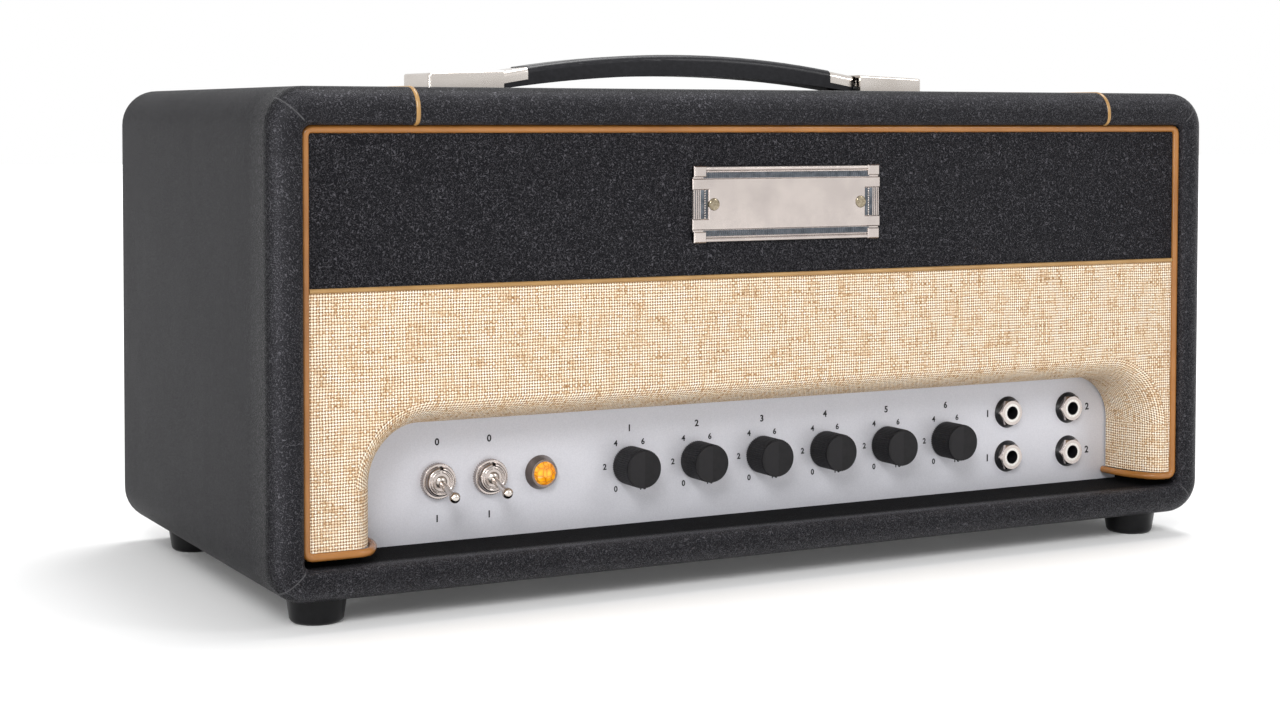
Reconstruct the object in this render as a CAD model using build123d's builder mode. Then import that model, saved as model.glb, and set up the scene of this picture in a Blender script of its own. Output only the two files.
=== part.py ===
from build123d import *
import math
import os

# Guitar amplifier head. Millimetres. The origin is on the standing surface under the middle of the
# cabinet, +X to the viewer's right, the control side faces -Y and +Z is up.

# ---- Cabinet: four mitred boards in a wrapped covering
cab_w = 496.8             # width over the covering
cab_d = 238.6             # depth over the covering
cab_h = 214.4             # height without the feet
board_t = 14.4            # floor and side boards with their covering
top_t = 16.0              # top board with its covering
cover_t = 0.8             # covering
corner_r = 17.0           # the four corners seen from the front
nose_r = 10.4             # outer rounding of the front and back edges
lip_r = 3.8               # inner rounding of the front and back edges
inner_corner_r = 4.0      # corners of the two openings
turn_in_front = 46.0      # how far the covering turns into the front opening
turn_in_back = 16.0       # and into the back opening

# ---- Feet
foot_h = 11.6
foot_top_r = 13.1
foot_tip_r = 11.3
foot_round_r = 2.5
foot_side_inset = 27.5    # foot axis from the cabinet's side
foot_front_inset = 25.3   # front foot axis from the cabinet's front
foot_back_inset = 37.3    # back foot axis from the cabinet's back
foot_recess_r = 5.6
foot_recess_h = 5.0

# ---- Wood screws of the feet and the back panel
screw_r = 2.1
screw_head_r = 4.2
screw_head_t = 2.2
foot_screw_bite = 10.5    # depth in the floor board
screw_slot_w = 0.9
screw_slot_len = 5.0

# ---- Front: board, surround, cloth and trims
cloth_set_back = 6.0      # cloth's face behind the cabinet's front
cloth_t = 1.0
baffle_t = 12.0
piping_r = 1.75           # bead round the whole front
piping_lift = 3.2         # bead above the floor of the opening
piping_bend_r = 3.0       # bead's centre line in the corners
piping_gap = 0.1          # bead to the front's pieces
piping_proud = 1.6        # bead's centre line in front of the rolled edge
piping_turn_r = 30.0      # bead where it leaves the front
piping_end_r = 8.0        # and where it meets the control panel
divider_z = 129.7         # cord between the upper panel and the cloth, from the cabinet's underside
divider_r = 1.0
surround_h = 67.3         # surround of the control opening, from the baffle's lower edge
cut_left_post = 36.1      # control opening from the cabinet's inner left side
cut_right_post = 19.1     # and from the inner right side
cut_h = 54.5              # height of the control opening above the cabinet's inner floor
cut_corner_r = 23.0
roll_w = 12.5             # rolled edge of the control opening, across
roll_gap = 1.0            # rolled edge to the control panel
panel_set_back = 38.0     # control panel's face behind the cabinet's front

# ---- Beads let into the covering over the top
strip_x = 184.2
strip_w = 1.8
strip_proud = 0.8
strip_sunk = 0.6

# ---- Badge plate, left blank
badge_w = 101.0
badge_h = 34.6
badge_t = 2.4
badge_field_t = 1.2
badge_rim = 4.0
badge_z = 162.6           # centre, from the cabinet's underside
badge_screw_x = 39.5
badge_screw_r = 2.9
badge_slot_w = 0.6

# ---- Handle
handle_y = -6.1
cap_inner_x = 101.0
cap_len = 38.5
cap_w = 32.5
cap_h_inner = 9.4
cap_h_outer = 7.9
cap_wall = 1.2
cap_round_r = 1.1
cap_screw_x = (109.0, 130.5)
cap_screw_r = 1.9
cap_screw_head_r = 3.6
cap_screw_head_h = 1.7
cap_screw_bite = 10.0
grip_w = 22.0
grip_t = 10.5
grip_rise = 18.5          # top of the grip above the cabinet
grip_arch_r = 555.0       # arch of the grip's upper side
grip_under_r = 695.0      # arch of its underside
grip_half = 86.0          # grip between the ferrules
grip_round_r = 3.2
ferrule_len = 14.0
ferrule_t = 6.2
ferrule_sunk = 0.4        # ferrule's top below the grip's
strap_w = 17.0
strap_t = 2.0
strap_gap = 0.3           # strap's flat ends above the cabinet
strap_end_gap = 3.5       # strap's end to the cap's end wall
strap_fit = 0.15

# ---- Chassis and control panel
chassis_side_gap = 12.0   # chassis to the cabinet's inner side
chassis_d = 172.8
chassis_t = 1.5
chassis_lip = 13.0
panel_t = 2.0
panel_h = 60.0
bolt_r = 3.0
bolt_x = 118.0
bolt_head_r = 6.0
bolt_head_t = 3.0
bolt_nut_r = 5.5
bolt_nut_t = 4.5
bolt_clear = 0.3

# ---- Controls on the panel, all on one line
control_z = 27.2          # axis above the cabinet's inner floor
toggle_from_cut = 37.5    # first toggle from the opening's left edge
toggle_pitch = 25.1
lamp_pitch = 25.5         # second toggle to the lamp
knob_from_lamp = 45.1
knob_pitch = 35.62
knob_count = 6
jack_from_knob = 38.6
jack_pitch = 38.6
jack_row_pitch = 22.4

# ---- Knob, pot and shaft
knob_r = 8.9
knob_len = 14.9
knob_gap = 0.6            # knob above the panel
knob_crown = 0.5          # rise of the face's ridge
knob_recess_r = 7.3
knob_recess_h = 5.8
knob_face_t = 1.8
rib_count = 54
rib_r = 0.36
rib_stop = 1.2            # ribs end this far behind the knob's face
shaft_r = 3.0
shaft_fit = 0.06          # running fit of the shaft in its bush
shaft_seat = 0.02         # fit of the knob on its shaft
pot_r = 12.0
pot_len = 11.0
bush_r = 4.7
bush_proud = 5.0
bush_fit = 0.2
pot_nut_af = 12.0
pot_nut_t = 2.2
pot_floor_t = 2.0
knob_turn = 150.0         # each way from the middle

# ---- Toggle switch
toggle_bush_r = 5.9
toggle_bush_proud = 5.0
toggle_nut_r = 8.0
toggle_nut_t = 3.0
toggle_body_w = 16.0
toggle_body_h = 28.0
toggle_body_d = 24.0
lever_ball_r = 3.6
lever_fit = 0.06
lever_len = 17.7          # pivot to the tip ball
lever_root_r = 1.7
lever_neck_r = 1.25
lever_tip_r = 2.5
lever_tilt = 15.0         # each way from square
lever_tail_r = 1.1
lever_tail_len = 6.0
pivot_proud = 2.6         # pivot in front of the panel
keyway_w = 1.4
toggle_knurls = 44

# ---- Indicator lamp
lamp_base_r = 7.8
lamp_nose_r = 6.3
lamp_proud = 4.2
lamp_body_r = 5.0
lamp_body_len = 20.0
lens_r = 5.3
lens_rise = 3.2
lens_facets = 12
lens_seat = 2.0
lamp_nut_af = 14.0
lamp_nut_t = 2.5

# ---- Jack sockets
jack_bore_r = 3.25
jack_bush_r = 4.6
jack_body_w = 19.0
jack_body_h = 20.4
jack_body_d = 24.0
jack_bore_depth = 22.0
bezel_r = 8.0
bezel_nose_r = 6.8
bezel_t = 1.9
jack_nut_af = 12.2
jack_nut_t = 2.2

# ---- Pieces on the chassis
mains_tx_size = (86.0, 44.0, 72.0)      # width, stack and height of the laminations
output_tx_size = (68.0, 36.0, 57.0)
choke_size = (46.0, 24.0, 38.0)
mains_tx_spot = (-168.0, 87.3)          # from the middle, and behind the chassis's front
output_tx_spot = (-78.0, 87.3)
choke_spot = (118.0, 37.3)
tx_foot_t = 2.0
tx_foot_reach = 14.0      # feet beyond the stack
tx_coil_bulge = 10.0      # winding beyond the stack
tx_coil_share = 0.64      # winding to the laminations, across and up
tx_coil_r = 6.0
tx_bolt_inset = 5.0
tx_bolt_r = 2.2
tx_bolt_proud = 4.0
tube_r = 16.5             # power tubes
tube_base_h = 14.0
tube_h = 100.0
tube_xs = (0.0, 50.0)
tube_back = 107.3         # behind the chassis's front
small_tube_r = 10.8       # preamp tubes
small_tube_base_h = 2.0
small_tube_h = 50.0
small_tube_xs = (102.0, 140.0, 178.0)
small_tube_back = 91.3
glass_inset = 0.8         # glass inside its base's edge
glass_dome = 0.8          # dome's rounding to the glass's radius
tube_tip_r = 2.2
tube_tip_h = 3.0
tube_tip_flat = 0.2
socket_rim_t = 3.0
socket_body_share = 0.8   # socket's body to its tube, across
socket_depth = 11.0
can_r = 17.0
can_h = 58.0
can_xs = (-8.0, 38.0)
can_back = 39.3
tag_board_len = 190.0
tag_board_w = 46.0
tag_board_t = 2.4
tag_board_spot = (30.0, 57.3)
tag_parts = 12
tag_part_r = 3.0
tag_part_len = 22.0
tag_part_drop = 1.8       # parts' axes below the board
post_r = 3.0
post_h = 14.0
post_inset = 8.0

# ---- Back
back_t = 6.0
back_set_back = 12.0      # back panel behind the cabinet's back edge
back_gap = 4.0            # back panel above the chassis
back_edge_gap = 0.5
vent_w = 320.0
vent_h = 56.0
vent_corner_r = 6.0
vent_overlap = 12.0
grille_t = 1.0
grille_rows = 5
grille_slots = 18
slot_len = 13.0
slot_w = 4.6
cleat_t = 15.0
back_screw_bite = 10.0
back_screw_rise = 45.0    # side screws above and below the panel's middle
back_screw_reach = 90.0   # upper screws from the middle
inlet_x = 184.0           # from the middle towards the mains side
inlet_w = 28.0
inlet_h = 21.0
inlet_flange_w = 48.0
inlet_flange_h = 24.0
inlet_flange_t = 2.0
inlet_depth = 20.0
inlet_cavity_w = 22.0
inlet_cavity_h = 15.0
inlet_cavity_depth = 15.0
inlet_pin_pitch = 7.0
inlet_pin_drop = 2.0
pin_w = 2.0
pin_h = 4.0
pin_len = 10.0
fuse_x = (142.0, 116.0)
fuse_r = 6.3
fuse_cap_r = 7.6
fuse_cap_len = 12.0
fuse_body_len = 26.0
speaker_x = (20.0, 60.0)

# ---- Worked out from the sizes above
cab_z0 = foot_h
cab_z1 = cab_z0 + cab_h
cab_mid_z = (cab_z0 + cab_z1) / 2
front_y = -cab_d / 2
back_y = cab_d / 2
in_x = cab_w / 2 - board_t
in_z0 = cab_z0 + board_t
in_z1 = cab_z1 - top_t
in_mid_z = (in_z0 + in_z1) / 2
cloth_y = front_y + cloth_set_back
baffle_y = cloth_y + cloth_t
baffle_x = in_x - 2 * piping_r - piping_gap
baffle_z0 = in_z0 + piping_lift + 2 * piping_r + piping_gap
baffle_z1 = in_z1 - 2 * piping_r - piping_gap
surround_z1 = baffle_z0 + surround_h
cord_z = cab_z0 + divider_z
panel_y = front_y + panel_set_back
roll_y = panel_y - roll_gap
roll_d = roll_y - cloth_y
cut_x0 = -in_x + cut_left_post
cut_x1 = in_x - cut_right_post
cut_z1 = in_z0 + cut_h
chassis_x = in_x - chassis_side_gap
chassis_y0 = panel_y + panel_t
chassis_y1 = chassis_y0 + chassis_d
chassis_z0 = in_z0
chassis_z1 = chassis_z0 + panel_h
axis_z = in_z0 + control_z
wall_y = chassis_y0 + chassis_t
toggle_xs = [cut_x0 + toggle_from_cut + i * toggle_pitch for i in range(2)]
lamp_x = toggle_xs[-1] + lamp_pitch
knob_xs = [lamp_x + knob_from_lamp + i * knob_pitch for i in range(knob_count)]
jack_xs = [knob_xs[-1] + jack_from_knob + i * jack_pitch for i in range(2)]
jack_zs = [axis_z + s * jack_row_pitch / 2 for s in (1, -1)]
jack_spots = [(x, z) for z in jack_zs for x in jack_xs]
speaker_spots = [(x, axis_z) for x in speaker_x]
foot_x = cab_w / 2 - foot_side_inset
foot_ys = (front_y + foot_front_inset, back_y - foot_back_inset)
foot_spots = [(x, y) for x in (-foot_x, foot_x) for y in foot_ys]
bolt_ys = (wall_y + chassis_lip / 2, chassis_y1 - chassis_t - chassis_lip / 2)
bolt_spots = [(x, y) for x in (-bolt_x, bolt_x) for y in bolt_ys]
back_panel_y1 = back_y - back_set_back
back_panel_y0 = back_panel_y1 - back_t
back_panel_z0 = chassis_z1 + back_gap
back_panel_z1 = in_z1 - back_edge_gap
back_panel_x = in_x - back_edge_gap
vent_z = (back_panel_z0 + back_panel_z1) / 2
strap_flat_z = cab_z1 + strap_gap + strap_t / 2
strap_half = cap_inner_x + cap_len - cap_wall - strap_end_gap
top_arch = (grip_arch_r, grip_rise)
split_arch = (grip_arch_r - ferrule_t, grip_rise - ferrule_t)
under_arch = (grip_under_r, grip_rise - grip_t)
strap_depth = (ferrule_t + strap_t) / 2
strap_arch = (grip_arch_r - strap_depth, grip_rise - strap_depth)
cap_screw_spots = [(s * x, handle_y) for s in (-1, 1) for x in cap_screw_x]
deck_z = chassis_z1
tube_y = chassis_y0 + tube_back
small_tube_y = chassis_y0 + small_tube_back
can_y = chassis_y0 + can_back
tag_board_z = deck_z - chassis_t - post_h - tag_board_t
jack_face_y = panel_y - bezel_t - jack_nut_t
stack_t = panel_t + chassis_t

os.makedirs("parts", exist_ok=True)


def save(part, name):
    """Label the finished piece and write its STEP file."""
    part.label = name
    export_step(part, f"parts/{name}.step")


def facing_front(x, y, z):
    """A plane at (x, y, z) whose normal points to the front, with X across and Z up."""
    return Plane(origin=(x, y, z), x_dir=(1, 0, 0), z_dir=(0, -1, 0))


def facing_back(x, y, z):
    """A plane at (x, y, z) whose normal points to the back, with X across."""
    return Plane(origin=(x, y, z), x_dir=(1, 0, 0), z_dir=(0, 1, 0))


# ---------------------------------------------------------------- cabinet
def opening(spread, y, depth):
    """The cabinet's opening widened by `spread`, as a solid of that depth centred on y."""
    with BuildPart() as hole:
        with BuildSketch(Plane.XZ.offset(-y)):
            with Locations((0, in_mid_z)):
                RectangleRounded(2 * (in_x + spread), in_z1 - in_z0 + 2 * spread, inner_corner_r + spread)
        extrude(amount=depth / 2, both=True)
    return hole.part


def cabinet_block(inset):
    """The cabinet's outer form less `inset`, bored through from front to back."""
    with BuildPart() as block:
        with Locations((0, 0, cab_mid_z)):
            Box(cab_w - 2 * inset, cab_d - 2 * inset, cab_h - 2 * inset)
        fillet(block.edges().filter_by(Axis.Y), corner_r - inset)
        ends = block.faces().sort_by(Axis.Y)
        fillet(ends[0].edges() + ends[-1].edges(), nose_r - inset)
        add(opening(0, 0, cab_d), mode=Mode.SUBTRACT)
        if inset:
            add(opening(inset, front_y, 2 * turn_in_front), mode=Mode.SUBTRACT)
            add(opening(inset, back_y, 2 * turn_in_back), mode=Mode.SUBTRACT)
        rims = block.faces().filter_by(Plane.XZ).sort_by(Axis.Y)
        rim_edges = rims[0].inner_wires()[0].edges() + rims[-1].inner_wires()[0].edges()
        fillet(rim_edges, lip_r - inset)
    return block.part


core = cabinet_block(cover_t)
far_x = cab_w / 2
corner_points = {
    "outer": [(-far_x, cab_z0), (far_x, cab_z0), (far_x, cab_z1), (-far_x, cab_z1)],
    "inner": [(-in_x, in_z0), (in_x, in_z0), (in_x, in_z1), (-in_x, in_z1)],
}


def mitred_board(side):
    """One board of the core between two mitres: side 0 is the floor, then right, top and left."""
    outer = corner_points["outer"]
    inner = corner_points["inner"]
    after = (side + 1) % 4
    with BuildPart() as board:
        add(core)
        with BuildSketch(Plane.XZ):
            with BuildLine():
                Polyline(outer[side], outer[after], inner[after], inner[side], close=True)
            make_face()
        extrude(amount=cab_d, both=True, mode=Mode.INTERSECT)
    return board.part


with BuildPart() as floor_board:
    add(mitred_board(0))
    with Locations([(x, y, in_z0) for x, y in bolt_spots]):
        Hole(bolt_r + bolt_clear, depth=board_t)
    with Locations([(x, y, cab_z0 + foot_screw_bite / 2) for x, y in foot_spots]):
        Cylinder(screw_r, foot_screw_bite, mode=Mode.SUBTRACT)
save(floor_board.part, "floor_board")

save(mitred_board(1), "right_side")

with BuildPart() as top_board:
    add(mitred_board(2))
    with Locations([(x, y, cab_z1 - cap_screw_bite / 2) for x, y in cap_screw_spots]):
        Cylinder(cap_screw_r, cap_screw_bite, mode=Mode.SUBTRACT)
save(top_board.part, "top_board")

save(mitred_board(3), "left_side")


# Two beads run over the top from the front opening to the back one, let into the covering.
def top_strip(x):
    """The bead at x, as a band that follows the cabinet's outline seen from the side."""
    rise = (strip_proud - strip_sunk) / 2
    lip_far = front_y + lip_r
    nose_far = front_y + nose_r
    with BuildPart() as strip:
        with BuildSketch(Plane.YZ.offset(x - strip_w / 2)):
            with BuildLine():
                for s in (1, -1):
                    CenterArc((s * lip_far, in_z1 + lip_r), lip_r + rise, 270, -s * 90)
                    Line((s * (front_y - rise), in_z1 + lip_r), (s * (front_y - rise), cab_z1 - nose_r))
                    CenterArc((s * nose_far, cab_z1 - nose_r), nose_r + rise, 90, s * 90)
                Line((nose_far, cab_z1 + rise), (-nose_far, cab_z1 + rise))
            trace(line_width=strip_proud + strip_sunk)
        extrude(amount=strip_w)
    return strip.part


strips = [top_strip(x) for x in (-strip_x, strip_x)]
with BuildPart() as top_piping:
    for strip in strips:
        add(strip)
save(top_piping.part, "top_piping")

with BuildPart() as vinyl_covering:
    add(cabinet_block(0))
    add(core, mode=Mode.SUBTRACT)
    for strip in strips:
        add(strip, mode=Mode.SUBTRACT)
    with Locations([(x, y, cab_z0 + cover_t / 2) for x, y in foot_spots]):
        Cylinder(screw_r, 3 * cover_t, mode=Mode.SUBTRACT)
    with Locations([(x, y, cab_z0 + board_t / 2) for x, y in bolt_spots]):
        Cylinder(bolt_r + bolt_clear, 2 * board_t, mode=Mode.SUBTRACT)
    with Locations([(x, y, cab_z1 - cover_t / 2) for x, y in cap_screw_spots]):
        Cylinder(cap_screw_r, 3 * cover_t, mode=Mode.SUBTRACT)
save(vinyl_covering.part, "vinyl_covering")

# ---------------------------------------------------------------- feet
with BuildPart() as foot:
    with BuildSketch(Plane.XY):
        Circle(foot_tip_r)
    with BuildSketch(Plane.XY.offset(foot_h)):
        Circle(foot_top_r)
    loft()
    fillet(foot.edges().filter_by(GeomType.CIRCLE).sort_by(Axis.Z)[0], foot_round_r)
    with Locations((0, 0, foot_recess_h / 2)):
        Cylinder(foot_recess_r, foot_recess_h, mode=Mode.SUBTRACT)
    with Locations((0, 0, foot_h / 2)):
        Cylinder(screw_r, foot_h, mode=Mode.SUBTRACT)

with BuildPart() as rubber_feet:
    with Locations([(x, y, 0) for x, y in foot_spots]):
        add(foot.part)
save(rubber_feet.part, "rubber_feet")


def wood_screw(bite, through):
    """A pan-headed screw pointing up +Z, with the head's bearing face at z = 0."""
    with BuildPart() as screw:
        Cylinder(screw_head_r, screw_head_t, align=(Align.CENTER, Align.CENTER, Align.MAX))
        fillet(screw.edges().sort_by(Axis.Z)[0], screw_head_t / 3)
        Cylinder(screw_r, through + bite, align=(Align.CENTER, Align.CENTER, Align.MIN))
        with Locations((0, 0, -screw_head_t)):
            Box(screw_slot_w, screw_slot_len, screw_head_t, mode=Mode.SUBTRACT)
            Box(screw_slot_len, screw_slot_w, screw_head_t, mode=Mode.SUBTRACT)
    return screw.part


foot_screw = wood_screw(foot_screw_bite, foot_h - foot_recess_h)
with BuildPart() as foot_screws:
    with Locations([(x, y, foot_recess_h) for x, y in foot_spots]):
        add(foot_screw)
save(foot_screws.part, "foot_screws")


# ---------------------------------------------------------------- front
def window(spread, y0, y1):
    """The control opening widened by `spread`, as a solid from y0 back to y1."""
    height = cut_z1 + spread - cab_z0
    with BuildPart() as hole:
        with BuildSketch(facing_front(0, y0, 0)) as outline:
            with Locations(((cut_x0 + cut_x1) / 2, cab_z0 + height / 2)):
                Rectangle(cut_x1 - cut_x0 + 2 * spread, height)
            fillet(outline.vertices().group_by(Axis.Z)[-1], cut_corner_r + spread)
        extrude(amount=-(y1 - y0))
    return hole.part


def round_the_opening(profile, overrun=0.0):
    """Sweep the profile round the opening's edge, from `overrun` below the front board's foot."""
    foot_z = baffle_z0 - overrun
    start = (cut_x0, roll_y, foot_z)
    with BuildPart() as swept:
        with BuildLine() as path:
            FilletPolyline(
                start, (cut_x0, roll_y, cut_z1), (cut_x1, roll_y, cut_z1), (cut_x1, roll_y, foot_z),
                radius=cut_corner_r,
            )
        with BuildSketch(Plane(origin=start, x_dir=(-1, 0, 0), z_dir=(0, 0, 1))):
            with BuildLine():
                profile()
            make_face()
        sweep(path=path.line)
    return swept.part


def roll_cutter():
    """What is routed off the surround: everything in front of its quarter ellipse."""
    EllipticalCenterArc((roll_w, 0), roll_w - cloth_t, roll_d - cloth_t, start_angle=90, arc_size=90)
    Polyline(
        (cloth_t, 0), (cloth_t, -cloth_t), (-cloth_t, -cloth_t), (-cloth_t, roll_d), (roll_w, roll_d),
        (roll_w, roll_d - cloth_t),
    )


def roll_skin():
    """The cloth over the quarter ellipse."""
    EllipticalCenterArc((roll_w, 0), roll_w, roll_d, start_angle=90, arc_size=90)
    EllipticalCenterArc((roll_w, 0), roll_w - cloth_t, roll_d - cloth_t, start_angle=90, arc_size=90)
    Line((0, 0), (cloth_t, 0))
    Line((roll_w, roll_d), (roll_w, roll_d - cloth_t))


def front_plate(z0, z1, y0, thickness):
    """A plate across the front between the side beads."""
    corner = piping_bend_r - piping_r + piping_gap
    with BuildPart() as plate:
        with BuildSketch(facing_front(0, y0, 0)):
            with Locations((0, (baffle_z0 + baffle_z1) / 2)):
                RectangleRounded(2 * baffle_x, baffle_z1 - baffle_z0, corner)
            with Locations((0, (z0 + z1) / 2)):
                Rectangle(2 * baffle_x, z1 - z0, mode=Mode.INTERSECT)
        extrude(amount=-thickness)
    return plate.part


save(front_plate(surround_z1, baffle_z1, baffle_y, baffle_t), "baffle_board")

with BuildPart() as control_surround:
    add(front_plate(baffle_z0, surround_z1, baffle_y, roll_y - baffle_y))
    add(window(cloth_t, baffle_y, roll_y), mode=Mode.SUBTRACT)
    add(round_the_opening(roll_cutter, cloth_t), mode=Mode.SUBTRACT)
save(control_surround.part, "control_surround")

with BuildPart() as front_cloth:
    add(front_plate(baffle_z0, cord_z - divider_r, cloth_y, cloth_t))
    add(window(roll_w, cloth_y, baffle_y), mode=Mode.SUBTRACT)
    add(round_the_opening(roll_skin))
save(front_cloth.part, "front_cloth")

save(front_plate(cord_z + divider_r, baffle_z1, cloth_y, cloth_t), "upper_front_panel")

with BuildPart() as divider_cord:
    with Locations((0, baffle_y - divider_r, cord_z)):
        Cylinder(divider_r, 2 * baffle_x, rotation=(0, 90, 0))
save(divider_cord.part, "divider_cord")

# The bead starts at the panel, bends round the left roll, runs up, over and down, and ends at the
# panel again. It stands a little proud of the cloth.
bead_y = cloth_y
bead_x = in_x - piping_r
bead_z0 = baffle_z0 - piping_gap - piping_r
bead_z1 = in_z1 - piping_r
bead_bend_y = cloth_y + roll_d / 2
bead_turn_x = roll_w / 2
bead_radii = [piping_turn_r, piping_end_r] + 4 * [piping_bend_r] + [piping_end_r, piping_turn_r]
with BuildPart() as perimeter_piping:
    with BuildLine() as bead_path:
        FilletPolyline(
            (cut_x0 + piping_proud, roll_y, bead_z0),
            (cut_x0 + piping_proud, bead_bend_y, bead_z0),
            (cut_x0 - bead_turn_x, bead_y, bead_z0),
            (-bead_x, bead_y, bead_z0),
            (-bead_x, bead_y, bead_z1),
            (bead_x, bead_y, bead_z1),
            (bead_x, bead_y, bead_z0),
            (cut_x1 + bead_turn_x, bead_y, bead_z0),
            (cut_x1 - piping_proud, bead_bend_y, bead_z0),
            (cut_x1 - piping_proud, roll_y, bead_z0),
            radius=bead_radii,
        )
    with BuildSketch(facing_front(cut_x0 + piping_proud, roll_y, bead_z0)):
        Circle(piping_r)
    sweep(path=bead_path.line)
save(perimeter_piping.part, "perimeter_piping")

# ---------------------------------------------------------------- badge
with BuildPart() as badge_plate:
    with BuildSketch(facing_front(0, cloth_y, cab_z0 + badge_z)):
        RectangleRounded(badge_w, badge_h, badge_rim / 2)
    extrude(amount=badge_t)
    with BuildSketch(facing_front(0, cloth_y - badge_field_t, cab_z0 + badge_z)):
        RectangleRounded(badge_w - 2 * badge_rim, badge_h - 2 * badge_rim, badge_rim / 2)
    extrude(amount=badge_t, mode=Mode.SUBTRACT)
    fillet(badge_plate.faces().sort_by(Axis.Y)[0].edges(), badge_rim / 8)
save(badge_plate.part, "badge_plate")

with BuildPart() as badge_screws:
    for s in (-1, 1):
        with BuildSketch(facing_front(s * badge_screw_x, cloth_y - badge_field_t, cab_z0 + badge_z)):
            Circle(badge_screw_r)
        extrude(amount=badge_screw_r / 2)
    fillet(badge_screws.faces().sort_by(Axis.Y)[:2].edges(), badge_screw_r / 3)
    for s in (-1, 1):
        with Locations((s * badge_screw_x, cloth_y - badge_field_t - badge_screw_r / 2, cab_z0 + badge_z)):
            Box(2 * badge_screw_r, badge_screw_r / 2, badge_slot_w, mode=Mode.SUBTRACT)
save(badge_screws.part, "badge_screws")


# ---------------------------------------------------------------- handle
def cap_outline(inset):
    """The cap seen from the side, `inset` in from its outer face, open below and at the inner end."""
    far = cap_inner_x + cap_len - inset
    near = cap_inner_x - (1 if inset else 0)
    low = cab_z1 - (1 if inset else 0)
    slope = (cap_h_outer - cap_h_inner) / cap_len
    top_near = cab_z1 + cap_h_inner - inset + slope * (near - cap_inner_x)
    top_far = cab_z1 + cap_h_outer - inset - slope * inset
    return [(near, low), (far, low), (far, top_far), (near, top_near)]


def cap_top_z(x):
    """Height of the right cap's upper face at x."""
    return cab_z1 + cap_h_inner + (cap_h_outer - cap_h_inner) * (abs(x) - cap_inner_x) / cap_len


def countersunk(spread, length):
    """A countersunk screw pointing down, with its head's face at z = 0."""
    with BuildPart() as screw:
        with BuildSketch(Plane.XZ):
            with BuildLine():
                Polyline(
                    (0, 0), (cap_screw_head_r + spread, 0), (cap_screw_r + spread, -cap_screw_head_h),
                    (cap_screw_r + spread, -length), (0, -length), close=True,
                )
            make_face()
        revolve(axis=Axis.Z)
    return screw.part


with BuildPart() as right_cap:
    with BuildSketch(facing_front(0, handle_y - cap_w / 2, 0)):
        with BuildLine():
            Polyline(*cap_outline(0), close=True)
        make_face()
    extrude(amount=-cap_w)
    fillet(right_cap.edges().filter_by(Axis.Z).sort_by(Axis.X)[-2:], 2 * cap_round_r)
    fillet(right_cap.faces().sort_by(Axis.Z)[-1].edges().filter_by(Axis.Y, reverse=True), cap_round_r)
    with BuildSketch(facing_front(0, handle_y - cap_w / 2 + cap_wall, 0)):
        with BuildLine():
            Polyline(*cap_outline(cap_wall), close=True)
        make_face()
    extrude(amount=-(cap_w - 2 * cap_wall), mode=Mode.SUBTRACT)
    sink = countersunk(strap_fit, 2 * cap_h_inner)
    for x in cap_screw_x:
        with Locations((x, handle_y, cap_top_z(x))):
            add(sink, mode=Mode.SUBTRACT)

with BuildPart() as handle_caps:
    add(right_cap.part)
    mirror(right_cap.part, about=Plane.YZ)
save(handle_caps.part, "handle_caps")

with BuildPart() as handle_cap_screws:
    for x, y in cap_screw_spots:
        head_z = cap_top_z(x) - strap_fit
        with Locations((x, y, head_z)):
            add(countersunk(0, head_z - cab_z1 + cap_screw_bite))
save(handle_cap_screws.part, "handle_cap_screws")


def arch_point(arch, x):
    """The point at x on an arch of the handle, seen from the front: arch is its radius and its rise."""
    radius, rise = arch
    return (x, cab_z1 + rise - radius + math.sqrt(radius * radius - x * x))


def arched_block(upper, lower, x_from, x_to):
    """A block between two arches of the handle, `grip_w` wide."""
    middle = (x_from + x_to) / 2
    with BuildPart() as block:
        with BuildSketch(facing_front(0, handle_y - grip_w / 2, 0)):
            with BuildLine():
                ThreePointArc(*[arch_point(upper, x) for x in (x_from, middle, x_to)])
                Line(arch_point(upper, x_to), arch_point(lower, x_to))
                ThreePointArc(*[arch_point(lower, x) for x in (x_to, middle, x_from)])
                Line(arch_point(lower, x_from), arch_point(upper, x_from))
            make_face()
        extrude(amount=-grip_w)
    return block.part


def strap_band(spread):
    """The spring steel strap: arched through the grip, with flat ends in the caps."""
    bend_x = cap_inner_x - 6
    with BuildPart() as band:
        with BuildSketch(facing_front(0, handle_y - strap_w / 2 - spread, 0)):
            with BuildLine():
                arch = ThreePointArc(*[arch_point(strap_arch, x) for x in (-bend_x, 0, bend_x)])
                for s in (-1, 1):
                    end = arch @ (0 if s < 0 else 1)
                    Polyline(
                        (end.X, end.Y), (s * (cap_inner_x + 6), strap_flat_z), (s * strap_half, strap_flat_z),
                    )
            trace(line_width=strap_t + 2 * spread)
        extrude(amount=-(strap_w + 2 * spread))
    return band.part


strap_room = strap_band(strap_fit)
with BuildPart() as handle_strap:
    add(strap_band(0))
    slot_from = cap_screw_x[0] - 3.2 * cap_screw_r
    slot_to = cap_screw_x[1] + 1.6 * cap_screw_r
    for s in (-1, 1):
        with Locations((s * (slot_from + slot_to) / 2, handle_y, strap_flat_z)):
            Box(slot_to - slot_from, 3 * cap_screw_r, 4 * strap_t, mode=Mode.SUBTRACT)
save(handle_strap.part, "handle_strap")

ferrule_end = grip_half + ferrule_len
with BuildPart() as handle_grip:
    add(arched_block(top_arch, split_arch, -grip_half, grip_half))
    fillet(handle_grip.edges().filter_by(GeomType.CIRCLE).group_by(Axis.Z)[-1], grip_round_r)
    add(arched_block(split_arch, under_arch, -ferrule_end, ferrule_end))
    add(strap_room, mode=Mode.SUBTRACT)
save(handle_grip.part, "handle_grip")

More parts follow.
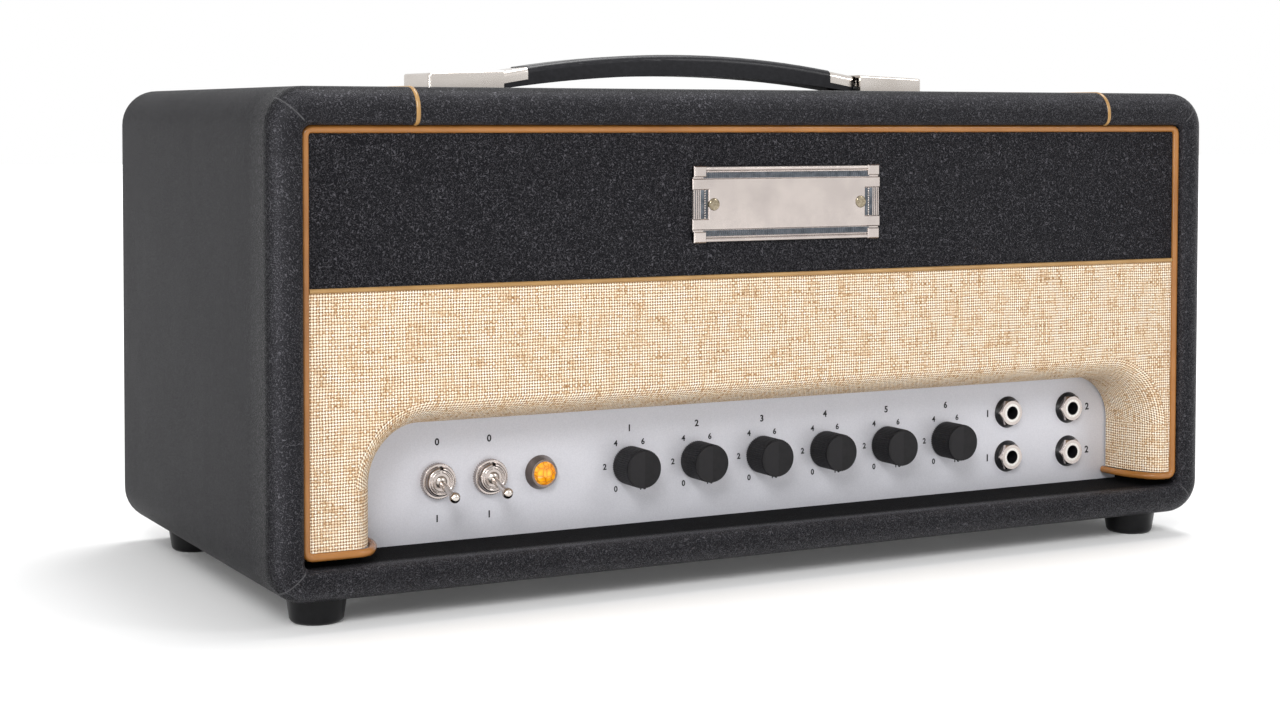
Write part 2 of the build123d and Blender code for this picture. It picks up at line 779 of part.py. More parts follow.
ferrule_arch = (grip_arch_r - ferrule_sunk, grip_rise - ferrule_sunk)
with BuildPart() as handle_ferrules:
    for s in (-1, 1):
        near, far = sorted((s * grip_half, s * ferrule_end))
        add(arched_block(ferrule_arch, split_arch, near, far))
    top_edges = handle_ferrules.edges().filter_by(GeomType.CIRCLE).group_by(Axis.Z)[-1]
    fillet(top_edges, grip_round_r - ferrule_sunk)
    add(strap_room, mode=Mode.SUBTRACT)
save(handle_ferrules.part, "handle_ferrules")


# ---------------------------------------------------------------- chassis and control panel
def panel_holes():
    """Every hole through the control panel: (x, z, radius)."""
    holes = [(x, axis_z, toggle_bush_r + bush_fit) for x in toggle_xs]
    holes += [(x, axis_z, bush_r + bush_fit) for x in knob_xs]
    holes += [(x, z, jack_bush_r + bush_fit) for x, z in jack_spots]
    holes.append((lamp_x, axis_z, lamp_body_r + bush_fit))
    return holes


def back_holes():
    """Every round hole through the chassis's back wall: (x, z, radius)."""
    holes = [(x, z, jack_bush_r + bush_fit) for x, z in speaker_spots]
    holes += [(-x, axis_z, fuse_r + bush_fit) for x in fuse_x]
    return holes


def rod(x, z, y_back, y_front, radius, nose_radius=None):
    """A round bar along Y from y_back forward to y_front, tapered when a nose radius is given."""
    with BuildPart() as bar:
        with BuildSketch(facing_front(x, y_back, z)):
            Circle(radius)
        if nose_radius:
            with BuildSketch(facing_front(x, y_front, z)):
                Circle(nose_radius)
            loft()
        else:
            extrude(amount=y_back - y_front)
    return bar.part


def hex_bar(x, z, y_back, y_front, across_flats):
    """A hexagonal bar along Y from y_back forward to y_front, with its front corners chamfered."""
    length = y_back - y_front
    with BuildPart() as bar:
        with BuildSketch(facing_front(x, y_back, z)):
            RegularPolygon(across_flats / 2, 6, major_radius=False)
        extrude(amount=length)
        with BuildSketch(facing_front(x, y_back, z)):
            Circle(across_flats / 2 + length)
        extrude(amount=length, taper=45, mode=Mode.INTERSECT)
    return bar.part


def drill(spots, y_front, y_back):
    """The round holes in `spots` as one tool that runs from y_front back to y_back."""
    with BuildPart() as tool:
        for x, z, radius in spots:
            add(rod(x, z, y_back, y_front, radius))
    return tool.part


with BuildPart() as control_panel:
    with Locations((0, panel_y, chassis_z0)):
        Box(2 * chassis_x, panel_t, panel_h, align=(Align.CENTER, Align.MIN, Align.MIN))
    add(drill(panel_holes(), panel_y, chassis_y0), mode=Mode.SUBTRACT)
save(control_panel.part, "control_panel")

# The chassis is a deck, two long walls and two ends of sheet steel, spot-welded edge to edge, with a
# narrow lip inside each wall's foot.
def sheet(x0, x1, y0, y1, z0, z1):
    """A plain sheet between those sides."""
    with BuildPart() as plate:
        with Locations(((x0 + x1) / 2, (y0 + y1) / 2, (z0 + z1) / 2)):
            Box(x1 - x0, y1 - y0, z1 - z0)
    return plate.part


under_deck_z = deck_z - chassis_t
wall_y1 = chassis_y1 - chassis_t
end_x = chassis_x - chassis_t
lip_z = chassis_z0 + chassis_t
with BuildPart() as deck:
    add(sheet(-chassis_x, chassis_x, chassis_y0, chassis_y1, under_deck_z, deck_z))
    with Locations([(x, tube_y, deck_z - chassis_t / 2) for x in tube_xs]):
        Cylinder(socket_body_share * tube_r + bush_fit, chassis_t, mode=Mode.SUBTRACT)
    with Locations([(x, small_tube_y, deck_z - chassis_t / 2) for x in small_tube_xs]):
        Cylinder(socket_body_share * small_tube_r + bush_fit, chassis_t, mode=Mode.SUBTRACT)

with BuildPart() as front_wall:
    add(sheet(-chassis_x, chassis_x, chassis_y0, wall_y, chassis_z0, under_deck_z))
    add(drill(panel_holes(), chassis_y0, wall_y), mode=Mode.SUBTRACT)

with BuildPart() as back_wall:
    add(sheet(-chassis_x, chassis_x, wall_y1, chassis_y1, chassis_z0, under_deck_z))
    add(drill(back_holes(), wall_y1, chassis_y1), mode=Mode.SUBTRACT)
    with Locations((-inlet_x, (wall_y1 + chassis_y1) / 2, axis_z)):
        Box(inlet_w + 2 * bush_fit, chassis_t, inlet_h + 2 * bush_fit, mode=Mode.SUBTRACT)

chassis_sheets = [deck.part, front_wall.part, back_wall.part]
for s in (-1, 1):
    wall_x0, wall_x1 = sorted((s * end_x, s * chassis_x))
    lip_x0, lip_x1 = sorted((s * (end_x - chassis_lip), s * end_x))
    chassis_sheets.append(sheet(wall_x0, wall_x1, wall_y, wall_y1, chassis_z0, under_deck_z))
    lip_y0 = wall_y + chassis_lip
    lip_y1 = wall_y1 - chassis_lip
    chassis_sheets.append(sheet(lip_x0, lip_x1, lip_y0, lip_y1, chassis_z0, lip_z))
for y0, y1 in ((wall_y, wall_y + chassis_lip), (wall_y1 - chassis_lip, wall_y1)):
    with BuildPart() as long_lip:
        add(sheet(-end_x, end_x, y0, y1, chassis_z0, lip_z))
        with Locations([(s * bolt_x, (y0 + y1) / 2, chassis_z0 + chassis_t / 2) for s in (-1, 1)]):
            Cylinder(bolt_r + bolt_clear, chassis_t, mode=Mode.SUBTRACT)
    chassis_sheets.append(long_lip.part)
save(Compound(children=chassis_sheets), "chassis")

with BuildPart() as chassis_bolts:
    with Locations([(x, y, cab_z0) for x, y in bolt_spots]):
        Cylinder(bolt_head_r, bolt_head_t, align=(Align.CENTER, Align.CENTER, Align.MAX))
        Cylinder(bolt_r, board_t + chassis_t + bolt_nut_t, align=(Align.CENTER, Align.CENTER, Align.MIN))
    with BuildSketch(Plane.XY.offset(chassis_z0 + chassis_t)):
        with Locations(bolt_spots):
            RegularPolygon(bolt_nut_r, 6)
    extrude(amount=bolt_nut_t)
save(chassis_bolts.part, "chassis_bolts")


# ---------------------------------------------------------------- knobs, pots and shafts
knob_y0 = panel_y - knob_gap
knob_y1 = knob_y0 - knob_len
shaft_y0 = wall_y + pot_len - pot_floor_t
shaft_y1 = knob_y1 + knob_face_t + shaft_seat

# The knob's side is ribbed all round, and its face is a shallow ridge that points at the dial.
rib_len = knob_len - rib_stop
with BuildPart() as knob:
    with BuildSketch(facing_front(0, knob_y0, 0)):
        Circle(knob_r)
        with PolarLocations(knob_r, rib_count):
            Circle(rib_r, mode=Mode.SUBTRACT)
    extrude(amount=rib_len)
    add(rod(0, 0, knob_y0 - rib_len, knob_y1, knob_r - rib_r))
    fillet(knob.faces().sort_by(Axis.Y)[0].edges(), 0.4)
    with BuildSketch(Plane.XY.offset(-knob_r)):
        for s in (-1, 1):
            with BuildLine():
                Polyline((0, knob_y1), (s * knob_r, knob_y1), (s * knob_r, knob_y1 + knob_crown), close=True)
            make_face()
    extrude(amount=2 * knob_r, mode=Mode.SUBTRACT)
    add(rod(0, 0, knob_y0, knob_y0 - knob_recess_h, knob_recess_r), mode=Mode.SUBTRACT)
    add(rod(0, 0, knob_y0, shaft_y1 - shaft_seat, shaft_r + shaft_seat), mode=Mode.SUBTRACT)

for i, x in enumerate(knob_xs, start=1):
    with BuildPart(Location((x, 0, axis_z))) as placed_knob:
        add(knob.part)
    save(placed_knob.part, f"knob_{i}")
    save(rod(x, axis_z, shaft_y0, shaft_y1, shaft_r), f"pot_shaft_{i}")

pot_mouth_y = panel_y - bush_proud
with BuildPart() as pots:
    for x in knob_xs:
        add(rod(x, axis_z, wall_y + pot_len, wall_y, pot_r))
        add(hex_bar(x, axis_z, panel_y, panel_y - pot_nut_t, pot_nut_af))
        add(rod(x, axis_z, wall_y, pot_mouth_y, bush_r))
        add(rod(x, axis_z, shaft_y0 + shaft_fit, pot_mouth_y, shaft_r + shaft_fit), mode=Mode.SUBTRACT)
save(pots.part, "pots")

# ---------------------------------------------------------------- toggle switches
pivot_y = panel_y - pivot_proud
toggle_mouth_y = panel_y - toggle_bush_proud

with BuildPart() as toggle_bodies:
    for x in toggle_xs:
        with Locations((x, wall_y, axis_z)):
            Box(toggle_body_w, toggle_body_d, toggle_body_h, align=(Align.CENTER, Align.MIN, Align.CENTER))
        add(rod(x, axis_z, wall_y, toggle_mouth_y, toggle_bush_r))
        with Locations((x, pivot_y, axis_z)):
            Sphere(lever_ball_r + lever_fit, mode=Mode.SUBTRACT)
        tail_room = lever_tail_r + lever_tail_len * math.sin(math.radians(lever_tilt)) + 5 * lever_fit
        tail_end_y = pivot_y + lever_tail_len + lever_tail_r
        add(rod(x, axis_z, tail_end_y, pivot_y, tail_room), mode=Mode.SUBTRACT)
        with Locations((x, toggle_mouth_y, axis_z + toggle_bush_r)):
            Box(keyway_w, 2 * toggle_bush_proud - 1, keyway_w, mode=Mode.SUBTRACT)
save(toggle_bodies.part, "toggle_bodies")

with BuildPart() as toggle_nuts:
    for x in toggle_xs:
        add(rod(x, axis_z, panel_y, panel_y - toggle_nut_t, toggle_nut_r))
    fillet(toggle_nuts.faces().group_by(Axis.Y)[0].edges(), 0.5)
    for x in toggle_xs:
        add(rod(x, axis_z, panel_y, panel_y - toggle_nut_t, toggle_bush_r), mode=Mode.SUBTRACT)
        with BuildSketch(facing_front(x, panel_y, axis_z)):
            with PolarLocations(toggle_nut_r, toggle_knurls):
                Circle(rib_r)
        extrude(amount=toggle_nut_t, mode=Mode.SUBTRACT)
save(toggle_nuts.part, "toggle_nuts")

with BuildPart() as lever:
    Sphere(lever_ball_r)
    add(rod(0, 0, 0, -lever_len, lever_root_r, lever_neck_r))
    add(rod(0, 0, lever_tail_len, 0, lever_tail_r))
    with Locations((0, -lever_len, 0)):
        Sphere(lever_tip_r)
for x, name in zip(toggle_xs, ("mains_lever", "standby_lever")):
    with BuildPart() as placed_lever:
        add(lever.part.moved(Location((x, pivot_y, axis_z), (lever_tilt, 0, 0))))
    save(placed_lever.part, name)

# ---------------------------------------------------------------- indicator lamp
lamp_front_y = panel_y - lamp_proud
with BuildPart() as lamp_bezel:
    add(rod(lamp_x, axis_z, panel_y, lamp_front_y, lamp_base_r, lamp_nose_r))
    add(rod(lamp_x, axis_z, wall_y + lamp_body_len, panel_y, lamp_body_r))
    add(hex_bar(lamp_x, axis_z, wall_y + lamp_nut_t, wall_y, lamp_nut_af))
    add(rod(lamp_x, axis_z, lamp_front_y + lens_seat, lamp_front_y, lens_r), mode=Mode.SUBTRACT)
save(lamp_bezel.part, "lamp_bezel")

with BuildPart() as lamp_lens:
    add(rod(lamp_x, axis_z, lamp_front_y + lens_seat, lamp_front_y, lens_r))
    with BuildSketch(facing_front(lamp_x, lamp_front_y, axis_z)):
        RegularPolygon(lens_r, lens_facets)
    extrude(amount=lens_rise / 2, taper=20)
    with BuildSketch(facing_front(lamp_x, lamp_front_y - lens_rise / 2, axis_z)):
        RegularPolygon(lens_r - lens_rise / 2 * math.tan(math.radians(20)), lens_facets)
    extrude(amount=lens_rise / 2, taper=60)
save(lamp_lens.part, "lamp_lens")

# ---------------------------------------------------------------- jack sockets
def on_back(part, x):
    """A piece made at x = 0 for the front of a wall, turned round onto the back wall at x."""
    return part.moved(Location((x, chassis_y1, axis_z), (0, 0, 180)))


def jack_socket(stack):
    """A socket on the control axis line, facing -Y, for a wall `stack` thick whose face is y = 0."""
    mouth = -bezel_t - jack_nut_t
    with BuildPart() as socket:
        with Locations((0, stack, 0)):
            Box(jack_body_w, jack_body_d, jack_body_h, align=(Align.CENTER, Align.MIN, Align.CENTER))
        add(rod(0, 0, stack, mouth, jack_bush_r))
        add(rod(0, 0, mouth + jack_bore_depth, mouth, jack_bore_r), mode=Mode.SUBTRACT)
    return socket.part


with BuildPart() as bezel:
    add(rod(0, 0, 0, -bezel_t, bezel_r, bezel_nose_r))
    add(rod(0, 0, 0, -bezel_t, jack_bush_r), mode=Mode.SUBTRACT)

with BuildPart() as jack_nut:
    add(hex_bar(0, 0, -bezel_t, -bezel_t - jack_nut_t, jack_nut_af))
    add(rod(0, 0, -bezel_t, -bezel_t - jack_nut_t, jack_bush_r), mode=Mode.SUBTRACT)

front_socket = jack_socket(stack_t)
back_socket = jack_socket(chassis_t)
with BuildPart() as jack_sockets:
    for x, z in jack_spots:
        add(front_socket.moved(Location((x, panel_y, z))))
    for x in speaker_x:
        add(on_back(back_socket, x))
save(jack_sockets.part, "jack_sockets")

with BuildPart() as jack_bezels:
    for x, z in jack_spots:
        add(bezel.part.moved(Location((x, panel_y, z))))
    for x in speaker_x:
        add(on_back(bezel.part, x))
save(jack_bezels.part, "jack_bezels")

with BuildPart() as jack_nuts:
    for x, z in jack_spots:
        add(jack_nut.part.moved(Location((x, panel_y, z))))
    for x in speaker_x:
        add(on_back(jack_nut.part, x))
save(jack_nuts.part, "jack_nuts")


# ---------------------------------------------------------------- pieces on the chassis
def transformer(size, spot):
    """A transformer standing on the deck at `spot`: laminations, winding, feet and tie bolts."""
    width, stack, height = size
    x = spot[0]
    y = chassis_y0 + spot[1]
    mid_z = deck_z + tx_foot_t + height / 2
    with BuildPart() as tx:
        with Locations((x, y, mid_z)):
            Box(tx_coil_share * width, stack + 2 * tx_coil_bulge, tx_coil_share * height)
        fillet(tx.edges().filter_by(Axis.Y, reverse=True), tx_coil_r)
        with Locations((x, y, mid_z)):
            Box(width, stack, height)
        with Locations((x, y, deck_z + tx_foot_t / 2)):
            Box(width, stack + 2 * tx_foot_reach, tx_foot_t)
        for s in (-1, 1):
            for t in (-1, 1):
                bolt_at = (x + s * (width / 2 - tx_bolt_inset), mid_z + t * (height / 2 - tx_bolt_inset))
                add(rod(*bolt_at, y + stack / 2 + tx_bolt_proud, y - stack / 2 - tx_bolt_proud, tx_bolt_r))
    return tx.part


save(transformer(mains_tx_size, mains_tx_spot), "mains_transformer")
save(transformer(output_tx_size, output_tx_spot), "output_transformer")
save(transformer(choke_size, choke_spot), "filter_choke")


def tube(radius, base_h, height):
    """A tube standing on z = 0: base, glass with a domed top, and its tip."""
    glass_r = radius - glass_inset
    with BuildPart() as bulb:
        Cylinder(glass_r, height - tube_tip_h, align=(Align.CENTER, Align.CENTER, Align.MIN))
        fillet(bulb.edges().sort_by(Axis.Z)[-1], glass_dome * glass_r)
        Cylinder(radius, base_h, align=(Align.CENTER, Align.CENTER, Align.MIN))
        Cylinder(tube_tip_r, height, align=(Align.CENTER, Align.CENTER, Align.MIN))
        fillet(bulb.edges().sort_by(Axis.Z)[-1], tube_tip_r - tube_tip_flat)
    return bulb.part


def socket(radius):
    """The socket of a tube of that radius, with its rim resting on z = 0."""
    with BuildPart() as holder:
        Cylinder(radius, socket_rim_t, align=(Align.CENTER, Align.CENTER, Align.MIN))
        Cylinder(socket_body_share * radius, socket_depth, align=(Align.CENTER, Align.CENTER, Align.MAX))
    return holder.part


power_spots = [(x, tube_y) for x in tube_xs]
preamp_spots = [(x, small_tube_y) for x in small_tube_xs]
with BuildPart() as power_tubes:
    with Locations([(x, y, deck_z + socket_rim_t) for x, y in power_spots]):
        add(tube(tube_r, tube_base_h, tube_h))
save(power_tubes.part, "power_tubes")

with BuildPart() as preamp_tubes:
    with Locations([(x, y, deck_z + socket_rim_t) for x, y in preamp_spots]):
        add(tube(small_tube_r, small_tube_base_h, small_tube_h))
save(preamp_tubes.part, "preamp_tubes")

with BuildPart() as tube_sockets:
    with Locations([(x, y, deck_z) for x, y in power_spots]):
        add(socket(tube_r))
    with Locations([(x, y, deck_z) for x, y in preamp_spots]):
        add(socket(small_tube_r))
save(tube_sockets.part, "tube_sockets")

with BuildPart() as filter_capacitors:
    with Locations([(x, can_y, deck_z) for x in can_xs]):
        Cylinder(can_r, can_h, align=(Align.CENTER, Align.CENTER, Align.MIN))
    fillet(filter_capacitors.edges().group_by(Axis.Z)[-1], 0.12 * can_r)
save(filter_capacitors.part, "filter_capacitors")

tag_x = tag_board_spot[0]
tag_y = chassis_y0 + tag_board_spot[1]
with BuildPart() as circuit_board:
    with Locations((tag_x, tag_y, tag_board_z)):
        Box(tag_board_len, tag_board_w, tag_board_t, align=(Align.CENTER, Align.CENTER, Align.MIN))
    for s in (-1, 1):
        post_x = tag_x + s * (tag_board_len / 2 - post_inset)
        with Locations([(post_x, tag_y + t * (tag_board_w / 2 - post_inset), tag_board_z + tag_board_t)
                        for t in (-1, 1)]):
            Cylinder(post_r, post_h, align=(Align.CENTER, Align.CENTER, Align.MIN))
    part_pitch = (tag_board_len - 2 * post_inset) / tag_parts
    for i in range(tag_parts):
        part_x = tag_x + (i - (tag_parts - 1) / 2) * part_pitch
        add(rod(part_x, tag_board_z - tag_part_drop, tag_y + tag_part_len / 2, tag_y - tag_part_len / 2,
                tag_part_r))
save(circuit_board.part, "circuit_board")

# ---------------------------------------------------------------- back
back_mid_z = (back_panel_z0 + back_panel_z1) / 2
back_screw_x = in_x - cleat_t / 2
back_screw_spots = [(s * back_screw_x, back_mid_z + t * back_screw_rise) for s in (-1, 1) for t in (-1, 1)]
back_screw_spots += [(s * back_screw_reach, in_z1 - cleat_t / 2) for s in (-1, 1)]

with BuildPart() as back_panel:
    with Locations((0, back_panel_y0, back_mid_z)):
        Box(2 * back_panel_x, back_t, back_panel_z1 - back_panel_z0,
            align=(Align.CENTER, Align.MIN, Align.CENTER))
    fillet(back_panel.edges().filter_by(Axis.Y).group_by(Axis.Z)[-1], inner_corner_r)
    with BuildSketch(facing_back(0, back_panel_y0, vent_z)):
        RectangleRounded(vent_w, vent_h, vent_corner_r)
    extrude(amount=back_t, mode=Mode.SUBTRACT)
    for x, z in back_screw_spots:
        add(rod(x, z, back_panel_y1, back_panel_y0, screw_r), mode=Mode.SUBTRACT)
save(back_panel.part, "back_panel")

with BuildPart() as vent_grille:
    with BuildSketch(facing_back(0, back_panel_y0 - grille_t, vent_z)):
        Rectangle(vent_w + 2 * vent_overlap, vent_h + 2 * vent_overlap)
        with GridLocations((vent_w - slot_w) / grille_slots, (vent_h - slot_w) / grille_rows,
                           grille_slots, grille_rows):
            SlotOverall(slot_len, slot_w, mode=Mode.SUBTRACT)
    extrude(amount=grille_t)
save(vent_grille.part, "vent_grille")

# Three plain strips of wood, glued inside the back edge.
def cleat(x, z0, z1, width):
    """A cleat behind the back panel, bored for the screws that meet it."""
    with BuildPart() as strip_of_wood:
        with Locations((x, back_panel_y0, (z0 + z1) / 2)):
            Box(width, cleat_t, z1 - z0, align=(Align.CENTER, Align.MAX, Align.CENTER))
        for screw_x, screw_z in back_screw_spots:
            if abs(screw_x - x) < width / 2 and z0 < screw_z < z1:
                bite_y = back_panel_y0 - back_screw_bite
                add(rod(screw_x, screw_z, back_panel_y0, bite_y, screw_r), mode=Mode.SUBTRACT)
    return strip_of_wood.part


cleats = [cleat(s * back_screw_x, back_panel_z0, in_z1, cleat_t) for s in (-1, 1)]
cleats.append(cleat(0, in_z1 - cleat_t, in_z1, 2 * (in_x - cleat_t)))
save(Compound(children=cleats), "back_cleats")

back_screw = wood_screw(back_screw_bite, back_t)
with BuildPart() as back_screws:
    for x, z in back_screw_spots:
        add(back_screw.moved(Location((x, back_panel_y1, z), (90, 0, 0))))
save(back_screws.part, "back_screws")

with BuildPart() as mains_inlet:
    with Locations((-inlet_x, chassis_y1, axis_z)):
        Box(inlet_flange_w, inlet_flange_t, inlet_flange_h, align=(Align.CENTER, Align.MIN, Align.CENTER))
        Box(inlet_w, inlet_depth, inlet_h, align=(Align.CENTER, Align.MAX, Align.CENTER))
    inlet_mouth_y = chassis_y1 + inlet_flange_t
    with Locations((-inlet_x, inlet_mouth_y, axis_z)):
        Box(inlet_cavity_w, inlet_cavity_depth, inlet_cavity_h,
            align=(Align.CENTER, Align.MAX, Align.CENTER), mode=Mode.SUBTRACT)
    pins = [(s * inlet_pin_pitch, -inlet_pin_drop) for s in (-1, 1)]
    for x, z in pins + [(0, inlet_pin_drop)]:
        with Locations((-inlet_x + x, inlet_mouth_y - inlet_cavity_depth, axis_z + z)):
            Box(pin_w, pin_len, pin_h, align=(Align.CENTER, Align.MIN, Align.CENTER))
save(mains_inlet.part, "mains_inlet")

with BuildPart() as fuse_holders:
    for x in fuse_x:
        add(rod(-x, axis_z, chassis_y1, chassis_y1 - fuse_body_len, fuse_r))
        add(rod(-x, axis_z, chassis_y1 + fuse_cap_len, chassis_y1, fuse_cap_r))
    fillet(fuse_holders.faces().group_by(Axis.Y)[-1].edges(), 1.0)
save(fuse_holders.part, "fuse_holders")
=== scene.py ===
import bpy
import math
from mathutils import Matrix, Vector


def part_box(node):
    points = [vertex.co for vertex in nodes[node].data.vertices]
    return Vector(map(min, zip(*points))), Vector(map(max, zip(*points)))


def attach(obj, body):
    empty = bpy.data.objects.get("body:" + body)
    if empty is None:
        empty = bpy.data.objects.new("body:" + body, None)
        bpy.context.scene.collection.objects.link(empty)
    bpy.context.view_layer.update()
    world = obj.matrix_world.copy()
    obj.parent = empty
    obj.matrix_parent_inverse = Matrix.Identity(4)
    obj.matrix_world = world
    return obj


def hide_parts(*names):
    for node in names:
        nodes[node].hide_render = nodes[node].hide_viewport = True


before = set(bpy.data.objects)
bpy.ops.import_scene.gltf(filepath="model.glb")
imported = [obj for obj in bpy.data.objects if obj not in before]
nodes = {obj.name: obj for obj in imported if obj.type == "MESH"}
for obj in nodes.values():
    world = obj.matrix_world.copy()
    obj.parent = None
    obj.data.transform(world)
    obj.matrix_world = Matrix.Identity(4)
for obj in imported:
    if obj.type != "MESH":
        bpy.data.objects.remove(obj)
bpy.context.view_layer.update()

# ---------------------------------------------------------------- camera, light and floor
# The head stands on a seamless white sweep, seen from the left of its control side with a short
# telephoto lens. A soft lamp behind it on the right throws its shadow forward to the left.
view = bpy.data.cameras.new("view")
view.sensor_width = 36.0
view.lens = 61.85
view.shift_y = -0.1167
camera = bpy.data.objects.new("camera", view)
camera.location = (-0.53424, -0.97384, 0.21267)
camera.rotation_euler = (math.radians(90 - 2.236), math.radians(-0.104), math.radians(-28.013))
bpy.context.collection.objects.link(camera)
bpy.context.scene.camera = camera
bpy.context.scene.view_settings.view_transform = "Standard"


def soft_lamp(name, place, target, size, watts, colour=(1.0, 1.0, 1.0)):
    """A square soft lamp at `place`, turned towards `target`."""
    light = bpy.data.lights.new(name, "AREA")
    light.size = size
    light.energy = watts
    light.color = colour
    lamp = bpy.data.objects.new(name, light)
    lamp.location = place
    lamp.rotation_euler = (Vector(target) - Vector(place)).to_track_quat("-Z", "Y").to_euler()
    bpy.context.collection.objects.link(lamp)


soft_lamp("front_lamp", (-1.15, -1.75, 1.30), (0.0, -0.1, 0.12), 0.8, 32.0)
soft_lamp("back_lamp", (0.72, 0.42, 3.30), (-0.1, 0.0, 0.05), 1.7, 79.0)
soft_lamp("left_lamp", (-1.75, -0.68, 0.28), (-0.24, -0.1, 0.12), 0.30, 5.5)
soft_lamp("right_lamp", (1.05, -1.35, 1.05), (0.0, -0.1, 0.15), 0.45, 6.0)

world = bpy.data.worlds.new("studio")
bpy.context.scene.world = world
world.use_nodes = True
sky = world.node_tree
sky_light = sky.nodes["Background"]
sky_light.inputs["Color"].default_value = (1.0, 1.0, 1.0, 1.0)


def seen_directly(tree):
    """1 for what the camera, a mirror or a glass sees of the white surroundings, else 0."""
    rays = tree.nodes.new("ShaderNodeLightPath")
    total = rays.outputs["Is Camera Ray"]
    for kind in ("Is Glossy Ray", "Is Transmission Ray"):
        either = tree.nodes.new("ShaderNodeMath")
        either.operation = "MAXIMUM"
        tree.links.new(total, either.inputs[0])
        tree.links.new(rays.outputs[kind], either.inputs[1])
        total = either.outputs[0]
    return total


sky_level = sky.nodes.new("ShaderNodeMapRange")
sky_level.inputs["To Min"].default_value = 0.48
sky_level.inputs["To Max"].default_value = 1.0
sky.links.new(seen_directly(sky), sky_level.inputs["Value"])
sky.links.new(sky_level.outputs[0], sky_light.inputs["Strength"])

floor_mesh = bpy.data.meshes.new("floor")
reach = 9.0
floor_corners = [(-reach, -reach, 0), (reach, -reach, 0), (reach, reach, 0), (-reach, reach, 0)]
floor_mesh.from_pydata(floor_corners, [], [(0, 1, 2, 3)])
floor = bpy.data.objects.new("floor", floor_mesh)
bpy.context.collection.objects.link(floor)
floor_paint = bpy.data.materials.new("white_floor")
floor_paint.use_nodes = True
paint = floor_paint.node_tree
paint_base = paint.nodes["Principled BSDF"]
paint_base.inputs["Base Color"].default_value = (0.90, 0.90, 0.90, 1.0)
paint_base.inputs["Roughness"].default_value = 0.9
paint_base.inputs["Specular IOR Level"].default_value = 0.1
# far out the floor turns as white as the sky above it, so no horizon shows
paint_place = paint.nodes.new("ShaderNodeTexCoord")
paint_far = paint.nodes.new("ShaderNodeVectorMath")
paint_far.operation = "LENGTH"
paint_lift = paint.nodes.new("ShaderNodeMapRange")
paint_lift.inputs["From Min"].default_value = 0.45
paint_lift.inputs["From Max"].default_value = 3.0
paint_lift.inputs["To Min"].default_value = 0.07
paint_lift.inputs["To Max"].default_value = 1.0
paint_glow = paint.nodes.new("ShaderNodeMath")
paint_glow.operation = "MULTIPLY"
paint_base.inputs["Emission Color"].default_value = (1.0, 1.0, 1.0, 1.0)
paint.links.new(paint_place.outputs["Object"], paint_far.inputs[0])
paint.links.new(paint_far.outputs["Value"], paint_lift.inputs["Value"])
paint.links.new(paint_lift.outputs[0], paint_glow.inputs[0])
paint.links.new(seen_directly(paint), paint_glow.inputs[1])
paint.links.new(paint_glow.outputs[0], paint_base.inputs["Emission Strength"])
floor_mesh.materials.append(floor_paint)


# ---------------------------------------------------------------- cabinet boards
# Plywood boards, mitred at the corners. They show only at the back, where the covering stops.
def operator(operation, swapped=False):
    """The method of a value for one sign of arithmetic, with its Math node."""
    def method(self, other):
        first, second = (other, self) if swapped else (self, other)
        return self.finish.maths(operation, first, second)
    return method


class Value:
    """A number, colour or vector on its way through a finish. Sums and products add Math nodes."""

    __add__ = __radd__ = operator("ADD")
    __sub__ = operator("SUBTRACT")
    __rsub__ = operator("SUBTRACT", swapped=True)
    __mul__ = __rmul__ = operator("MULTIPLY")
    __truediv__ = operator("DIVIDE")
    __pow__ = operator("POWER")
    __gt__ = operator("GREATER_THAN")
    __lt__ = operator("LESS_THAN")

    def __init__(self, finish, socket):
        self.finish = finish
        self.socket = socket

    def __abs__(self):
        return self.finish.maths("ABSOLUTE", self)


